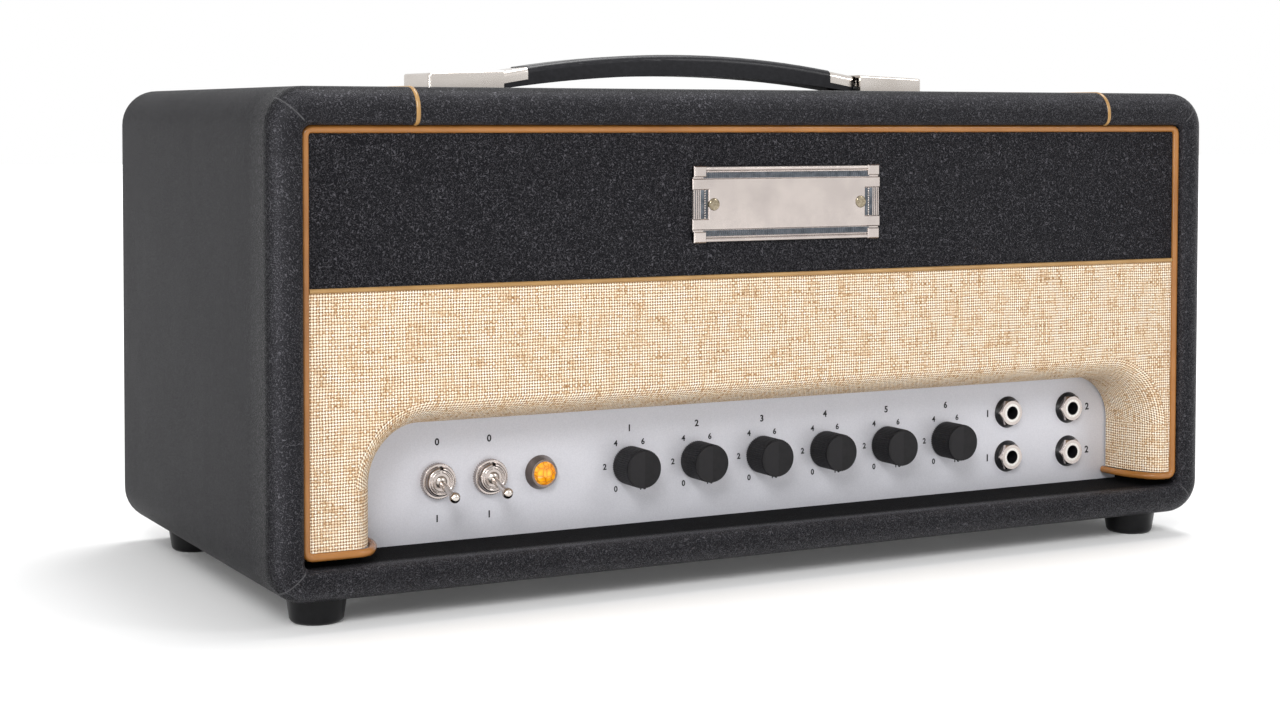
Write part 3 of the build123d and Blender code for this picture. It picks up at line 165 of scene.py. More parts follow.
class Finish:
    """A material on a Principled shader, whose plain values are given by socket name."""

    def __init__(self, name, **plain):
        self.material = bpy.data.materials.new(name)
        self.material.use_nodes = True
        self.tree = self.material.node_tree
        self.shader = self.tree.nodes["Principled BSDF"]
        for key, value in plain.items():
            socket = self.shader.inputs[key.replace("_", " ")]
            socket.default_value = (*value, 1.0) if hasattr(value, "__len__") else value

    def node(self, kind, settings, inputs, out=0):
        """Add a node: its settings first, then the values or links of its sockets."""
        made = self.tree.nodes.new(kind)
        for key, value in settings.items():
            if key == "stops":
                ramp = made.color_ramp.elements
                while len(ramp) < len(value):
                    ramp.new(1.0)
                for stop, (place, shade) in zip(ramp, value):
                    stop.position = place
                    stop.color = (*(shade if hasattr(shade, "__len__") else [shade] * 3), 1.0)
            else:
                setattr(made, key, value)
        for key, value in inputs.items():
            if isinstance(value, Value):
                self.tree.links.new(value.socket, made.inputs[key])
            else:
                made.inputs[key].default_value = value
        return Value(self, made.outputs[out])

    def maths(self, operation, *terms):
        """A Math node on one, two or three numbers."""
        return self.node("ShaderNodeMath", {"operation": operation}, dict(enumerate(terms)))

    def feed(self, socket, value):
        """Link a value to one of the shader's sockets."""
        self.tree.links.new(value.socket, self.shader.inputs[socket])

    def place(self, scale=(1.0, 1.0, 1.0)):
        """Where on the object a point lies, in metres times `scale`."""
        here = self.node("ShaderNodeTexCoord", {}, {}, "Object")
        return self.scaled(here, scale)

    def scaled(self, vector, scale):
        """A place with each of its parts multiplied."""
        return self.node("ShaderNodeMapping", {}, {"Vector": vector, "Scale": scale})

    def axis(self, vector, name):
        """One part of a vector: X, Y or Z."""
        return self.node("ShaderNodeSeparateXYZ", {}, {0: vector}, name)

    def noise(self, vector, scale, detail=3.0, roughness=0.5, distortion=0.0):
        """Soft noise from 0 to 1."""
        return self.node("ShaderNodeTexNoise", {}, {"Vector": vector, "Scale": scale, "Detail": detail,
                                                    "Roughness": roughness, "Distortion": distortion}, "Fac")

    def cells(self, vector, scale, feature="F1"):
        """Distance within scattered cells."""
        return self.node("ShaderNodeTexVoronoi", {"feature": feature},
                         {"Vector": vector, "Scale": scale}, "Distance")

    def pushed(self, vector, scale, amount):
        """The same places, pushed about by soft noise."""
        push = self.node("ShaderNodeTexNoise", {}, {"Vector": vector, "Scale": scale, "Detail": 2.0}, "Color")
        return self.node("ShaderNodeVectorMath", {"operation": "MULTIPLY_ADD"},
                         {0: push, 1: (amount, amount, amount), 2: vector})

    def ramp(self, value, *stops):
        """The colour or shade that the stops give to a value."""
        return self.node("ShaderNodeValToRGB", {"stops": stops}, {0: value})

    def two_tone(self, tone, dark, light, dark_to=0.3, light_from=0.7):
        """A colour that clouds from a darker shade to a lighter one."""
        return self.ramp(tone, (dark_to, dark), (light_from, light))

    def mix(self, factor, first, second):
        """A colour between two others."""
        shades = [shade if isinstance(shade, Value) else (*shade, 1.0) for shade in (first, second)]
        return self.node("ShaderNodeMix", {"data_type": "RGBA"}, {0: factor, 6: shades[0], 7: shades[1]}, 2)

    def relief(self, height, distance, strength=1.0, under=None):
        """A bump of the given height in metres, laid over an earlier one if there is one."""
        inputs = {"Height": height, "Distance": distance, "Strength": strength}
        if under:
            inputs["Normal"] = under
        return self.node("ShaderNodeBump", {}, inputs)

    def on(self, *pieces):
        """Put the finish on CAD nodes by name, or on pieces."""
        for piece in pieces:
            mesh = (nodes[piece] if isinstance(piece, str) else piece).data
            mesh.materials.clear()
            mesh.materials.append(self.material)


plywood = Finish("birch_plywood", Roughness=0.6, Specular_IOR_Level=0.3)
grain = plywood.noise(plywood.place((3.0, 3.0, 160.0)), 6.0, 4.0, 0.6)
plywood.feed("Base Color", plywood.two_tone(grain, (0.46, 0.32, 0.19), (0.60, 0.45, 0.28)))
plywood.feed("Normal", plywood.relief(grain, 0.0002))
plywood.on("floor_board", "right_side", "left_side", "top_board", "baffle_board", "back_cleats")
black_stain = Finish("black_stained_wood", Roughness=0.7, Specular_IOR_Level=0.2)
stain_grain = black_stain.noise(black_stain.place((3.0, 40.0, 160.0)), 6.0, 4.0, 0.6)
black_stain.feed("Base Color", black_stain.two_tone(stain_grain, (0.010, 0.010, 0.010), (0.024, 0.022, 0.021)))
black_stain.on("control_surround")


# ---------------------------------------------------------------- covering
# Black leather-grained vinyl, glued over the boards and turned into both openings. It is cut and
# butted on the mitres at the front and back corners.
def grid(rows, closed=False):
    """A loose mesh through rows of points, which close on themselves where asked."""
    count = len(rows[0])
    faces = []
    for r in range(len(rows) - 1):
        for c in range(count if closed else count - 1):
            after = (c + 1) % count
            faces.append((r * count + c, r * count + after, (r + 1) * count + after, (r + 1) * count + c))
    mesh = bpy.data.meshes.new("grid")
    mesh.from_pydata([point for row in rows for point in row], [], faces)
    return mesh


def joined(name, meshes, body="case", smooth=False):
    """One piece out of several meshes, riding on a body."""
    points = []
    faces = []
    for mesh in meshes:
        start = len(points)
        points += [tuple(v.co) for v in mesh.vertices]
        faces += [tuple(start + i for i in face.vertices) for face in mesh.polygons]
    whole = bpy.data.meshes.new(name)
    whole.from_pydata(points, [], faces)
    whole.polygons.foreach_set("use_smooth", [smooth] * len(faces))
    piece = bpy.data.objects.new(name, whole)
    bpy.context.collection.objects.link(piece)
    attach(piece, body)
    return piece


def arc(centre, radius, start, end, count):
    """Points on a circle's arc, in degrees, both ends included."""
    turns = [math.radians(start + (end - start) * i / count) for i in range(count + 1)]
    return [(centre[0] + radius * math.cos(a), centre[1] + radius * math.sin(a)) for a in turns]


def spread(start, end, count):
    """Values from start to end, both included."""
    return [start + (end - start) * i / count for i in range(count + 1)]


low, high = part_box("vinyl_covering")
half_w = (high[0] - low[0]) / 2
half_h = (high[2] - low[2]) / 2
half_d = (high[1] - low[1]) / 2
mid_z = (high[2] + low[2]) / 2
board = 0.0144
top_thicker = 0.0016
nose = 0.0104
lip = 0.0038
outer_corner = 0.017
inner_corner = 0.004
turned_in_front = 0.046
turned_in_back = 0.016
rim_points = 9

# the section across a board: how far in from the outer face, and how far back
front = [(board, y) for y in spread(-half_d + turned_in_front, -half_d + lip + 0.001, rim_points - 1)]
front += arc((board - lip, -half_d + lip), lip, 0, -90, 6)
front += arc((nose, -half_d + nose), nose, -90, -180, 12)
back = [(depth, -y) for depth, y in reversed(front[rim_points:])]
back.append((board, half_d - turned_in_back))
along = [(0.0, y) for y in spread(-half_d + nose, half_d - nose, 24)[1:-1]]
section = front + along + back


def top_drop(inset):
    """How much thicker the top board is than the others, behind its crowned nose."""
    return top_thicker if inset > nose + 1e-6 else 0.0


def outline(inset):
    """The cabinet's outline seen from the front, `inset` in from its outer face."""
    w = half_w - inset
    h = half_h - inset
    r = max(outer_corner - inset, inner_corner)
    drop = top_drop(inset)
    ring = []
    for sx, sz, start in ((1, 1, 0), (-1, 1, 90), (-1, -1, 180), (1, -1, 270)):
        centre_z = h - drop - r if sz > 0 else r - h
        ring.append(arc((sx * (w - r), centre_z), r, start, start + 90, 10))
    points = []
    for i, corner in enumerate(ring):
        points += corner
        x0, z0 = corner[-1]
        x1, z1 = ring[(i + 1) % 4][0]
        points += [(x0 + (x1 - x0) * t, z0 + (z1 - z0) * t) for t in spread(0.0, 1.0, 24)[1:-1]]
    return points


rows = [[(x, y, mid_z + z) for x, z in outline(inset)] for inset, y in section]
covering = joined("covering", [grid(rows, closed=True)], smooth=True)
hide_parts("vinyl_covering")


def vinyl_finish(name, mitred=False):
    """Black vinyl with a fine creased grain, its crests painted lighter as painted glints, and with the seams of
    the front mitres if it has them.
    """
    vinyl = Finish(name, Specular_IOR_Level=0.08)
    here = vinyl.place()

    def creased(place, scale, lines):
        # level lines of a slow noise lie close and even, like creases
        return vinyl.maths("SINE", vinyl.noise(place, scale, 1.0, 0.5, 0.8) * lines) * 0.5 + 0.5

    creases = creased(here, 520.0, 40.0)
    crossing = creased(vinyl.pushed(here, 60.0, 0.02), 640.0, 36.0)
    # a finer noise breaks them up, and takes the one kind or the other
    broken = vinyl.ramp(vinyl.noise(here, 1300.0, 0.0), (0.38, 0.0), (0.60, 1.0))
    folds = creases * (0.35 + broken * 0.65) + crossing * (0.65 - broken * 0.45)
    height = vinyl.ramp(folds, (0.48, 0.0), (1.0, 1.0))
    # pressed flat over the sides and the top, and left with its grain raised towards the front, where the crests
    # are painted lighter as painted glints
    raised = vinyl.ramp((vinyl.axis(here, "Y") + half_d) / 0.05, (0.24, 1.0), (0.60, 0.22))
    crest_glint = vinyl.ramp(height, (0.30, 0.0), (1.0, 1.0))
    tone = vinyl.mix(crest_glint * raised, (0.0052, 0.0051, 0.0068), (0.0730, 0.0712, 0.0800))
    gloss = 0.50 - raised * (0.10 + crest_glint * 0.14) + vinyl.noise(here, 30.0, 2.0) * 0.05
    waves = vinyl.relief(vinyl.noise(here, 26.0, 2.0), 0.0008, 0.5)
    if mitred:
        # a painted highlight runs along the crown of the nose, and the vinyl away from it is painted darker
        # towards the front, as painted shade
        nose_highlight_band = vinyl.ramp(abs((vinyl.axis(here, "Y") + half_d) / 0.01 - 0.28), (0.0, 1.0), (0.42, 0.0))
        tone = vinyl.mix((1 - nose_highlight_band) * raised * 0.40, tone, (0.0030, 0.0030, 0.0040))
        nose_highlight_tone = nose_highlight_band * (0.20 + vinyl.noise(here, 55.0, 2.0) * 0.5) * (0.30 + height)
        tone = vinyl.mix(nose_highlight_tone, tone, (0.128, 0.126, 0.140))
        x = vinyl.axis(here, "X")
        z = vinyl.axis(here, "Z")
        from_side = half_w - abs(x)
        from_end = half_h - abs(z - mid_z)
        at_front = vinyl.axis(here, "Y") < -half_d + 0.011
        # smooth and matt where it lines the opening, and painted darker there as painted shade
        shaded_lining = (from_side > board * 0.8) * (from_end > board * 0.8)
        shaded_lining = shaded_lining * vinyl.ramp((vinyl.axis(here, "Y") + half_d) * 50.0, (0.36, 0.0), (0.58, 1.0))
        tone = vinyl.mix(shaded_lining * 0.85, tone, (0.0020, 0.0020, 0.0024))
        gloss = gloss + shaded_lining * 0.45
        # the butted edges part along the mitre, and the vinyl puckers beside them. The seam is painted as a
        # lighter line, a painted highlight on its edges
        off_mitre = abs(from_side - from_end) + vinyl.noise(here, 260.0, 1.0) * 0.0004
        line = vinyl.ramp(off_mitre / 0.001, (0.30, 1.0), (0.85, 0.0))
        seam = line * at_front * (from_side < board)
        near = vinyl.ramp((from_side + from_end) * 20.0, (0.25, 1.0), (0.95, 0.0)) * at_front
        pucker = vinyl.noise(vinyl.pushed(here, 90.0, 0.012), 210.0, 2.0, 0.4) * near
        tone = vinyl.mix(seam * 0.9, tone, (0.115, 0.114, 0.120))
        waves = vinyl.relief(pucker, 0.0011, 0.8, under=vinyl.relief(1.0 - seam, 0.0003, 0.8, under=waves))
    vinyl.feed("Base Color", tone)
    vinyl.feed("Roughness", gloss)
    vinyl.feed("Normal", vinyl.relief(height * raised, 0.00036, 1.0, under=waves))
    return vinyl


vinyl_finish("black_vinyl", mitred=True).on(covering)
plain_vinyl = vinyl_finish("panel_vinyl")
plain_vinyl.on("upper_front_panel")


# ---------------------------------------------------------------- front cloth
# Straw-coloured woven cloth, stretched over the front board and rolled round the edge of the
# control opening, down to the panel. It is stapled behind, out of sight.
cloth_low, cloth_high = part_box("front_cloth")
panel_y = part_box("control_panel")[0][1]
board_half = half_w - board
cut_left = -board_half + 0.0361
cut_right = board_half - 0.0191
cut_top = low[2] + board + 0.0545
cut_corner = 0.023
roll_w = 0.0125
roll_d = cloth_high[1] - cloth_low[1]
cloth_edge = cloth_high[0]
cloth_top = cloth_high[2]
cloth_foot = cloth_low[2]
front_y = cloth_low[1]


def opening_edge():
    """Points up the opening's left edge, over its top and down its right, with outward normals."""
    points = [((cut_left, z), (-1.0, 0.0)) for z in spread(cloth_foot, cut_top - cut_corner, 16)[:-1]]
    for x, start in ((cut_left + cut_corner, 180), (cut_right - cut_corner, 90)):
        for turn in spread(start, start - 90, 18):
            a = math.radians(turn)
            n = (math.cos(a), math.sin(a))
            points.append(((x + cut_corner * n[0], cut_top - cut_corner + cut_corner * n[1]), n))
        if start == 180:
            top = spread(cut_left + cut_corner, cut_right - cut_corner, 60)[1:-1]
            points += [((x, cut_top), (0.0, 1.0)) for x in top]
    points += [((cut_right, z), (1.0, 0.0)) for z in spread(cut_top - cut_corner, cloth_foot, 16)[1:]]
    return points


def to_border(point, normal):
    """Where a ray from the rolled edge along its normal meets the cloth's outer edge."""
    reaches = []
    if abs(normal[0]) > 1e-6:
        border = cloth_edge if normal[0] > 0 else -cloth_edge
        reaches.append((border - point[0]) / normal[0])
    if normal[1] > 1e-6:
        reaches.append((cloth_top - point[1]) / normal[1])
    return min(reaches)


roll_turns = spread(0.0, 90.0, 14)
rows = []
edge_points = opening_edge()
for turn in roll_turns:
    a = math.radians(turn)
    out = roll_w * (1 - math.cos(a))
    y = cloth_high[1] - roll_d * math.sin(a)
    rows.append([(x + n[0] * out, y, z + n[1] * out) for (x, z), n in edge_points])
starts = [(x + n[0] * roll_w, z + n[1] * roll_w) for (x, z), n in edge_points]
ends = []
for start, (point, n) in zip(starts, edge_points):
    far = to_border(start, n)
    ends.append((start[0] + n[0] * far, start[1] + n[1] * far))
for corner in ((-cloth_edge, cloth_top), (cloth_edge, cloth_top)):
    ends[min(range(len(ends)), key=lambda i: math.dist(ends[i], corner))] = corner
for share in spread(0.0, 1.0, 10)[1:]:
    rows.append([(a[0] + (b[0] - a[0]) * share, front_y, a[1] + (b[1] - a[1]) * share)
                 for a, b in zip(starts, ends)])
cloth = joined("front_weave", [grid(rows)], smooth=True)
cloth.data.flip_normals()
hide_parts("front_cloth")

# the cloth's own length along the roll, from the flat front inwards
roll_arcs = [0.0]
for i in range(len(roll_turns) - 1, 0, -1):
    a, b = (math.radians(roll_turns[j]) for j in (i, i - 1))
    step = math.hypot(roll_w * (math.cos(a) - math.cos(b)), roll_d * (math.sin(a) - math.sin(b)))
    roll_arcs.append(roll_arcs[-1] + step)
roll_arcs.reverse()


def thread_place(vertex, column, flat):
    """Where a point of the cloth lies on its own weave, which turns with the roll in the corners."""
    row, at = divmod(vertex, len(edge_points))
    if flat:
        x, y, z = rows[row][at]
        return (x, z, 0.0)
    (x, z), n = edge_points[at]
    taken = roll_w - roll_arcs[row]
    first, second = edge_points[column][1], edge_points[column + 1][1]
    if abs(first[1]) + abs(second[1]) < 1e-6:
        return (x + n[0] * taken, z, 0.0)
    lean = roll_arcs[row]
    if abs(first[0]) + abs(second[0]) < 1e-6:
        return (x, z + taken, lean)
    centre = cut_left + cut_corner if n[0] < 1e-6 and x < 0 else cut_right - cut_corner
    return (centre + (cut_corner + roll_w / 2) * math.atan2(n[0], n[1]), cut_top + taken, lean)


threads = cloth.data.attributes.new("threads", "FLOAT_VECTOR", "CORNER")
for face in cloth.data.polygons:
    column = min(v % len(edge_points) for v in face.vertices)
    flat = min(v // len(edge_points) for v in face.vertices) >= len(roll_turns) - 1
    for loop in face.loop_indices:
        threads.data[loop].vector = thread_place(cloth.data.loops[loop].vertex_index, column, flat)

straw = Finish("straw_weave", Roughness=0.85, Specular_IOR_Level=0.15)
thread_at = straw.node("ShaderNodeAttribute", {"attribute_name": "threads"}, {}, "Vector")
across = straw.axis(thread_at, "X")
upward = straw.axis(thread_at, "Y")
rolled = straw.axis(thread_at, "Z")
flat_at = straw.node("ShaderNodeCombineXYZ", {}, {0: across, 1: upward})
pitch = 0.00128
lean_per_pitch = 0.40
# the threads wander a little, and lean over where the cloth is pulled round the roll
wander = straw.noise(flat_at, 34.0, 2.0)
cloth_u = across / pitch + wander * 1.3 + rolled * (lean_per_pitch / pitch)
cloth_v = upward / pitch + straw.noise(flat_at, 21.0, 2.0) * 1.1


def ridge(value):
    """The rounded back of each thread, from 0 between threads to 1 on top."""
    return straw.maths("SINE", value * math.pi) ** 2.0


def checker(first, second):
    """1 where the warp thread lies on top, 0 where the weft does."""
    return straw.maths("PINGPONG", straw.maths("FLOOR", first) + straw.maths("FLOOR", second), 1.0)


over = checker(cloth_u, cloth_v)
warp = ridge(cloth_u)
weft = ridge(cloth_v)
crown = over * warp + (1 - over) * weft
hole = (1 - warp) * (1 - weft)
streak = straw.noise(straw.scaled(flat_at, (70.0, 780.0, 1.0)), 1.0, 3.0, 0.7)
streak_up = straw.noise(straw.scaled(flat_at, (780.0, 70.0, 1.0)), 1.0, 3.0, 0.7)
thread_tone = over * streak_up + (1 - over) * streak
dapple = straw.noise(flat_at, 110.0, 3.0, 0.6)
thread_colour = straw.ramp(thread_tone + dapple * 0.35 - 0.17,
                           (0.30, (0.34, 0.19, 0.085)), (0.41, (0.74, 0.53, 0.33)),
                           (0.49, (0.97, 0.83, 0.63)), (0.66, (1.0, 0.94, 0.82)))
# painted shade: each thread is painted darker down its sides than on its back, and the gaps between the threads
# darker still
rounded = straw.mix(straw.ramp(crown, (0.0, 0.0), (0.6, 1.0)), (0.50, 0.31, 0.165), thread_colour)
gap_shade = straw.ramp(hole, (0.10, 0.0), (0.50, 1.0)) * (0.22 + dapple * 1.05)
straw.feed("Base Color", straw.mix(gap_shade, rounded, (0.21, 0.095, 0.036)))
straw.feed("Normal", straw.relief(crown + thread_tone * 0.3 - hole * 0.6, 0.00035, 0.8))
straw.on(cloth)


# ---------------------------------------------------------------- piping, divider cord and top strips
# Extruded bead. A smooth amber-gold length runs round the whole front and bends back with the rolled
# cloth. A duller gold cord covers the cloth's upper edge, and two strips of the same cross the top.
bead = Finish("gold_bead", Roughness=0.20, Specular_IOR_Level=0.40)
bead_tone = bead.noise(bead.place(), 45.0, 3.0)
bead.feed("Base Color", bead.two_tone(bead_tone, (0.27, 0.108, 0.024), (0.35, 0.148, 0.037)))
bead.feed("Normal", bead.relief(bead.noise(bead.place(), 900.0, 2.0), 0.00004, 0.5))
bead.on("perimeter_piping")

strip_half = 0.00112
strip_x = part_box("top_piping")[1][0] - 0.0009
strip_rise = 0.00058
strip_sunk = 0.00014
strip_path = [(inset + top_drop(inset), y) for inset, y in section[rim_points:-1]]
strips = []
for x in (-strip_x, strip_x):
    lengths = []
    for i, (inset, y) in enumerate(strip_path):
        before = strip_path[max(i - 1, 0)]
        after = strip_path[min(i + 1, len(strip_path) - 1)]
        run = Vector((0.0, after[1] - before[1], before[0] - after[0])).normalized()
        outward = Vector((0.0, -run.z, run.y))
        here = Vector((x, y, mid_z + half_h - inset))
        lengths.append([here + Vector((strip_half * u, 0, 0)) + outward * (strip_rise * (1 - u * u) - strip_sunk)
                        for u in spread(-1.0, 1.0, 8)])
    strips.append(grid(lengths))
top_strips = joined("top_strips", strips, smooth=True)
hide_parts("top_piping")
strip_bead = Finish("gold_strip", Roughness=0.28, Specular_IOR_Level=0.4)
strip_tone = strip_bead.noise(strip_bead.place(), 60.0, 3.0)
strip_bead.feed("Base Color", strip_bead.two_tone(strip_tone, (0.30, 0.165, 0.052), (0.39, 0.230, 0.085)))
strip_bead.feed("Normal", strip_bead.relief(strip_tone, 0.0001, 0.4))
strip_bead.on(top_strips, "divider_cord")


# ---------------------------------------------------------------- badge plate
# A cast plate in satin nickel, held by two slotted screws. Rods and reeded channels run along its
# long sides between square corner blocks, beaded bars close its ends, and its field is left bare.
def block(x0, x1, z0, z1, y0, y1, bevel):
    """A box from y1 at the back to y0 at the front, with its front edges bevelled."""
    rings = [[(x0 + b, y, z0 + b), (x1 - b, y, z0 + b), (x1 - b, y, z1 - b), (x0 + b, y, z1 - b)]
             for y, b in ((y1, 0.0), (y0 + bevel, 0.0), (y0, bevel))]
    mesh = grid(rings, closed=True)
    sides = [tuple(face.vertices) for face in mesh.polygons] + [(8, 9, 10, 11), (3, 2, 1, 0)]
    whole = bpy.data.meshes.new("block")
    whole.from_pydata([tuple(v.co) for v in mesh.vertices], [], sides)
    return whole


def half_rod(x0, x1, z, y, radius):
    """Half a round rod lying along x, its flat side at y."""
    ends = [[(x, y - radius * math.sin(math.radians(a)), z + radius * math.cos(math.radians(a)))
             for a in spread(0, 180, 8)] for x in (x0, x1)]
    return grid(ends)


def half_post(x, z0, z1, y, radius):
    """Half a round rod standing up along z, its flat side at y."""
    ends = [[(x - radius * math.cos(math.radians(a)), y - radius * math.sin(math.radians(a)), z)
             for a in spread(0, 180, 4)] for z in (z0, z1)]
    return grid(ends)


def stud(x, z, y, radius):
    """A small domed bead on the plate."""
    rings = []
    for rise in (0.0, 0.6, 1.1, 1.5):
        r = radius * math.cos(rise)
        rings.append([(x + r * math.cos(a), y - radius * math.sin(rise), z + r * math.sin(a))
                      for a in (math.tau * i / 8 for i in range(8))])
    return grid(rings, closed=True)


badge_low, badge_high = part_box("badge_plate")
badge_w = badge_high[0]
badge_mid = (badge_low[2] + badge_high[2]) / 2
badge_half = (badge_high[2] - badge_low[2]) / 2
plate_back = badge_high[1]
plate_front = badge_low[1]
ground_y = plate_front + 0.0012
end_gap = 0.0006
rod_end = badge_w - 0.006
reeds = 86
reed_pitch = 0.00104
bar_half = 0.0065
bar_y = plate_front + 0.0010
bright = [block(-badge_w + end_gap, badge_w - end_gap, badge_low[2] + 0.0004, badge_high[2] - 0.0004,
                ground_y, plate_back, 0.0002)]
dark = []
for side in (-1, 1):
    # the rod and the thin bead under it, then the reeded channel
    for below_edge, radius in ((0.00115, 0.00095), (0.00255, 0.0004)):
        rod_z = badge_mid + side * (badge_half - below_edge)
        bright.append(half_rod(-rod_end, rod_end, rod_z, ground_y, radius))
    channel = sorted((badge_mid + side * 0.0118, badge_mid + side * (badge_half - 0.0030)))
    for i in range(reeds):
        dark.append(half_post((i - (reeds - 1) / 2) * reed_pitch, *channel, ground_y, 0.00046))
    for end in (-1, 1):
        corner = sorted((end * (badge_w - end_gap), end * (badge_w - 0.0070)))
        rise = sorted((badge_mid + side * badge_half, badge_mid + side * (badge_half - 0.0050)))
        bright.append(block(*corner, *rise, plate_front, plate_back, 0.0005))
# the field is full width above and below its end bars, and narrower between them
field = []
for inset, y in ((0.0, plate_back), (0.0, plate_front + 0.0009), (0.0004, plate_front + 0.0005)):
    xs, zs = (badge_w - inset, 0.0422 - inset), (0.0116 - inset, bar_half + 0.0001 + inset)
    quarter = [(xs[0], -zs[0]), (xs[0], -zs[1]), (xs[1], -zs[1]), (xs[1], zs[1]), (xs[0], zs[1]), (xs[0], zs[0])]
    field.append([(x, y, badge_mid + z) for x, z in quarter + [(-x, -z) for x, z in quarter]])
face = bpy.data.meshes.new("field")
face.from_pydata(field[-1], [], [tuple(range(12))])
bright += [grid(field, closed=True), face]
for end in (-1, 1):
    bar = sorted((end * 0.0424, end * (badge_w - 0.0007)))
    dark.append(block(*bar, badge_mid - bar_half, badge_mid + bar_half, bar_y, plate_back, 0.0001))
    for i in range(4):
        post_x = end * (0.0466 + i * 0.00098)
        bright.append(half_post(post_x, badge_mid - bar_half, badge_mid + bar_half, bar_y, 0.00034))
    for i in range(12):
        bright.append(stud(end * 0.0441, badge_mid - 0.0061 + i * 0.00111, bar_y, 0.00050))
badge = joined("badge", bright)
badge_reeding = joined("badge_reeding", dark, smooth=True)
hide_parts("badge_plate")

nickel = Finish("satin_nickel", Metallic=1.0)
nickel_cloud = nickel.noise(nickel.place(), 60.0, 2.0)
nickel.feed("Base Color", nickel.two_tone(nickel_cloud, (0.41, 0.365, 0.345), (0.52, 0.465, 0.435), 0.25, 0.75))
nickel.feed("Roughness", 0.17 + nickel.noise(nickel.place(), 500.0, 2.0) * 0.08)
nickel.on(badge)
# painted shade: the reeded channels and the bars behind the end beads are painted dark grey for the shade down
# in them
channel_shade = Finish("channel_painted_shade", Metallic=0.85)
channel_shade_tone = channel_shade.noise(channel_shade.place(), 400.0, 2.0)
channel_shade.feed("Base Color", channel_shade.two_tone(channel_shade_tone, (0.055, 0.064, 0.076), (0.12, 0.133, 0.152)))
channel_shade.feed("Roughness", 0.34 + channel_shade_tone * 0.15)
channel_shade.on(badge_reeding)
screw = Finish("screw_plating", Metallic=1.0)
screw_tone = screw.noise(screw.place(), 900.0, 2.0)
screw.feed("Base Color", screw.two_tone(screw_tone, (0.20, 0.165, 0.11), (0.36, 0.31, 0.23)))
screw.feed("Roughness", 0.16 + screw_tone * 0.1)
screw.on("badge_screws")


# ---------------------------------------------------------------- feet
# Moulded black rubber, each held by one screw up its middle.
rubber = Finish("black_rubber", Specular_IOR_Level=0.22)
rubber_tone = rubber.noise(rubber.place(), 260.0, 4.0)
rubber.feed("Base Color", rubber.two_tone(rubber_tone, (0.0025, 0.0025, 0.003), (0.006, 0.006, 0.007)))
rubber.feed("Roughness", 0.24 + rubber_tone * 0.2)
rubber.feed("Normal", rubber.relief(rubber_tone, 0.0001, 0.3))
rubber.on("rubber_feet")

# bare zinc plating, also on the hardware inside the cabinet
steel = Finish("zinc_steel", Metallic=1.0)
steel_tone = steel.noise(steel.place((1.0, 1.0, 6.0)), 120.0, 4.0)
steel.feed("Base Color", steel.two_tone(steel_tone, (0.44, 0.44, 0.43), (0.60, 0.60, 0.59)))
steel.feed("Roughness", 0.28 + steel_tone * 0.25)
steel.on("foot_screws", "back_screws", "chassis_bolts", "chassis", "handle_strap", "pots",
         *[f"pot_shaft_{i}" for i in range(1, 7)])


# ---------------------------------------------------------------- handle
# A sprung steel strap in a black grip, with plated ferrules at the grip's ends and plated caps
# screwed over the strap's slotted ends.
grip = Finish("grip_vinyl", Specular_IOR_Level=0.26)
grip_tone = grip.noise(grip.place(), 500.0, 4.0)
grip.feed("Base Color", grip.two_tone(grip_tone, (0.006, 0.006, 0.008), (0.013, 0.013, 0.016)))
grip.feed("Roughness", 0.26 + grip_tone * 0.14)
grip.feed("Normal", grip.relief(grip_tone, 0.00012, 0.4))
grip.on("handle_grip")

plate = Finish("handle_plating", Metallic=1.0)
smear = plate.noise(plate.place((1.0, 1.0, 2.0)), 40.0, 2.0)
plate.feed("Base Color", plate.two_tone(smear, (0.56, 0.515, 0.475), (0.68, 0.635, 0.595)))
plate.feed("Roughness", 0.15 + smear * 0.10)
plate.on("handle_ferrules", "handle_caps", "handle_cap_screws")


# ---------------------------------------------------------------- control panel
# A folded plate with a satin silver finish. Its black printing is plain figures only: a number over
# each knob, 0 and 1 at each switch, numbers at the sockets, and the scales of the dials.
silver = Finish("silver_paint", Metallic=0.2, Specular_IOR_Level=0.4)
speck = silver.noise(silver.place(), 1800.0, 2.0)
silver.feed("Base Color", silver.two_tone(speck, (0.55, 0.55, 0.592), (0.61, 0.61, 0.652)))
silver.feed("Roughness", 0.36 + speck * 0.1)
silver.feed("Normal", silver.relief(speck, 0.00002, 0.4))
silver.on("control_panel")

ink = Finish("printing_ink", Roughness=0.5, Specular_IOR_Level=0.3)
ink_tone = ink.noise(ink.place(), 900.0, 2.0)
ink.feed("Base Color", ink.two_tone(ink_tone, (0.007, 0.006, 0.009), (0.015, 0.014, 0.018)))
ink_thick = 0.00003
figure_share = 0.70     # a figure's height over its type size
prints = []


def printed(figure, x, z, height):
    """A figure printed on the panel, centred on x and z, of that height."""
    line = bpy.data.curves.new("print", "FONT")
    line.body = figure
    line.size = height / figure_share
    line.space_character = 1.12
    line.offset = height * 0.044
    line.extrude = ink_thick
    line.resolution_u = 4
    line.align_x = "CENTER"
    label = bpy.data.objects.new("print", line)
    bpy.context.collection.objects.link(label)
    label.rotation_euler = (math.pi / 2, 0, 0)
    label.location = (x, panel_y - 2 * ink_thick, z - height / 2)
    bpy.context.view_layer.update()
    shape = bpy.data.meshes.new_from_object(label.evaluated_get(bpy.context.evaluated_depsgraph_get()))
    shape.transform(label.matrix_world)
    bpy.data.objects.remove(label)
    prints.append(shape)


def middle(node):
    """The middle of a CAD node's box."""
    a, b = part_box(node)
    return [(a[i] + b[i]) / 2 for i in range(3)]


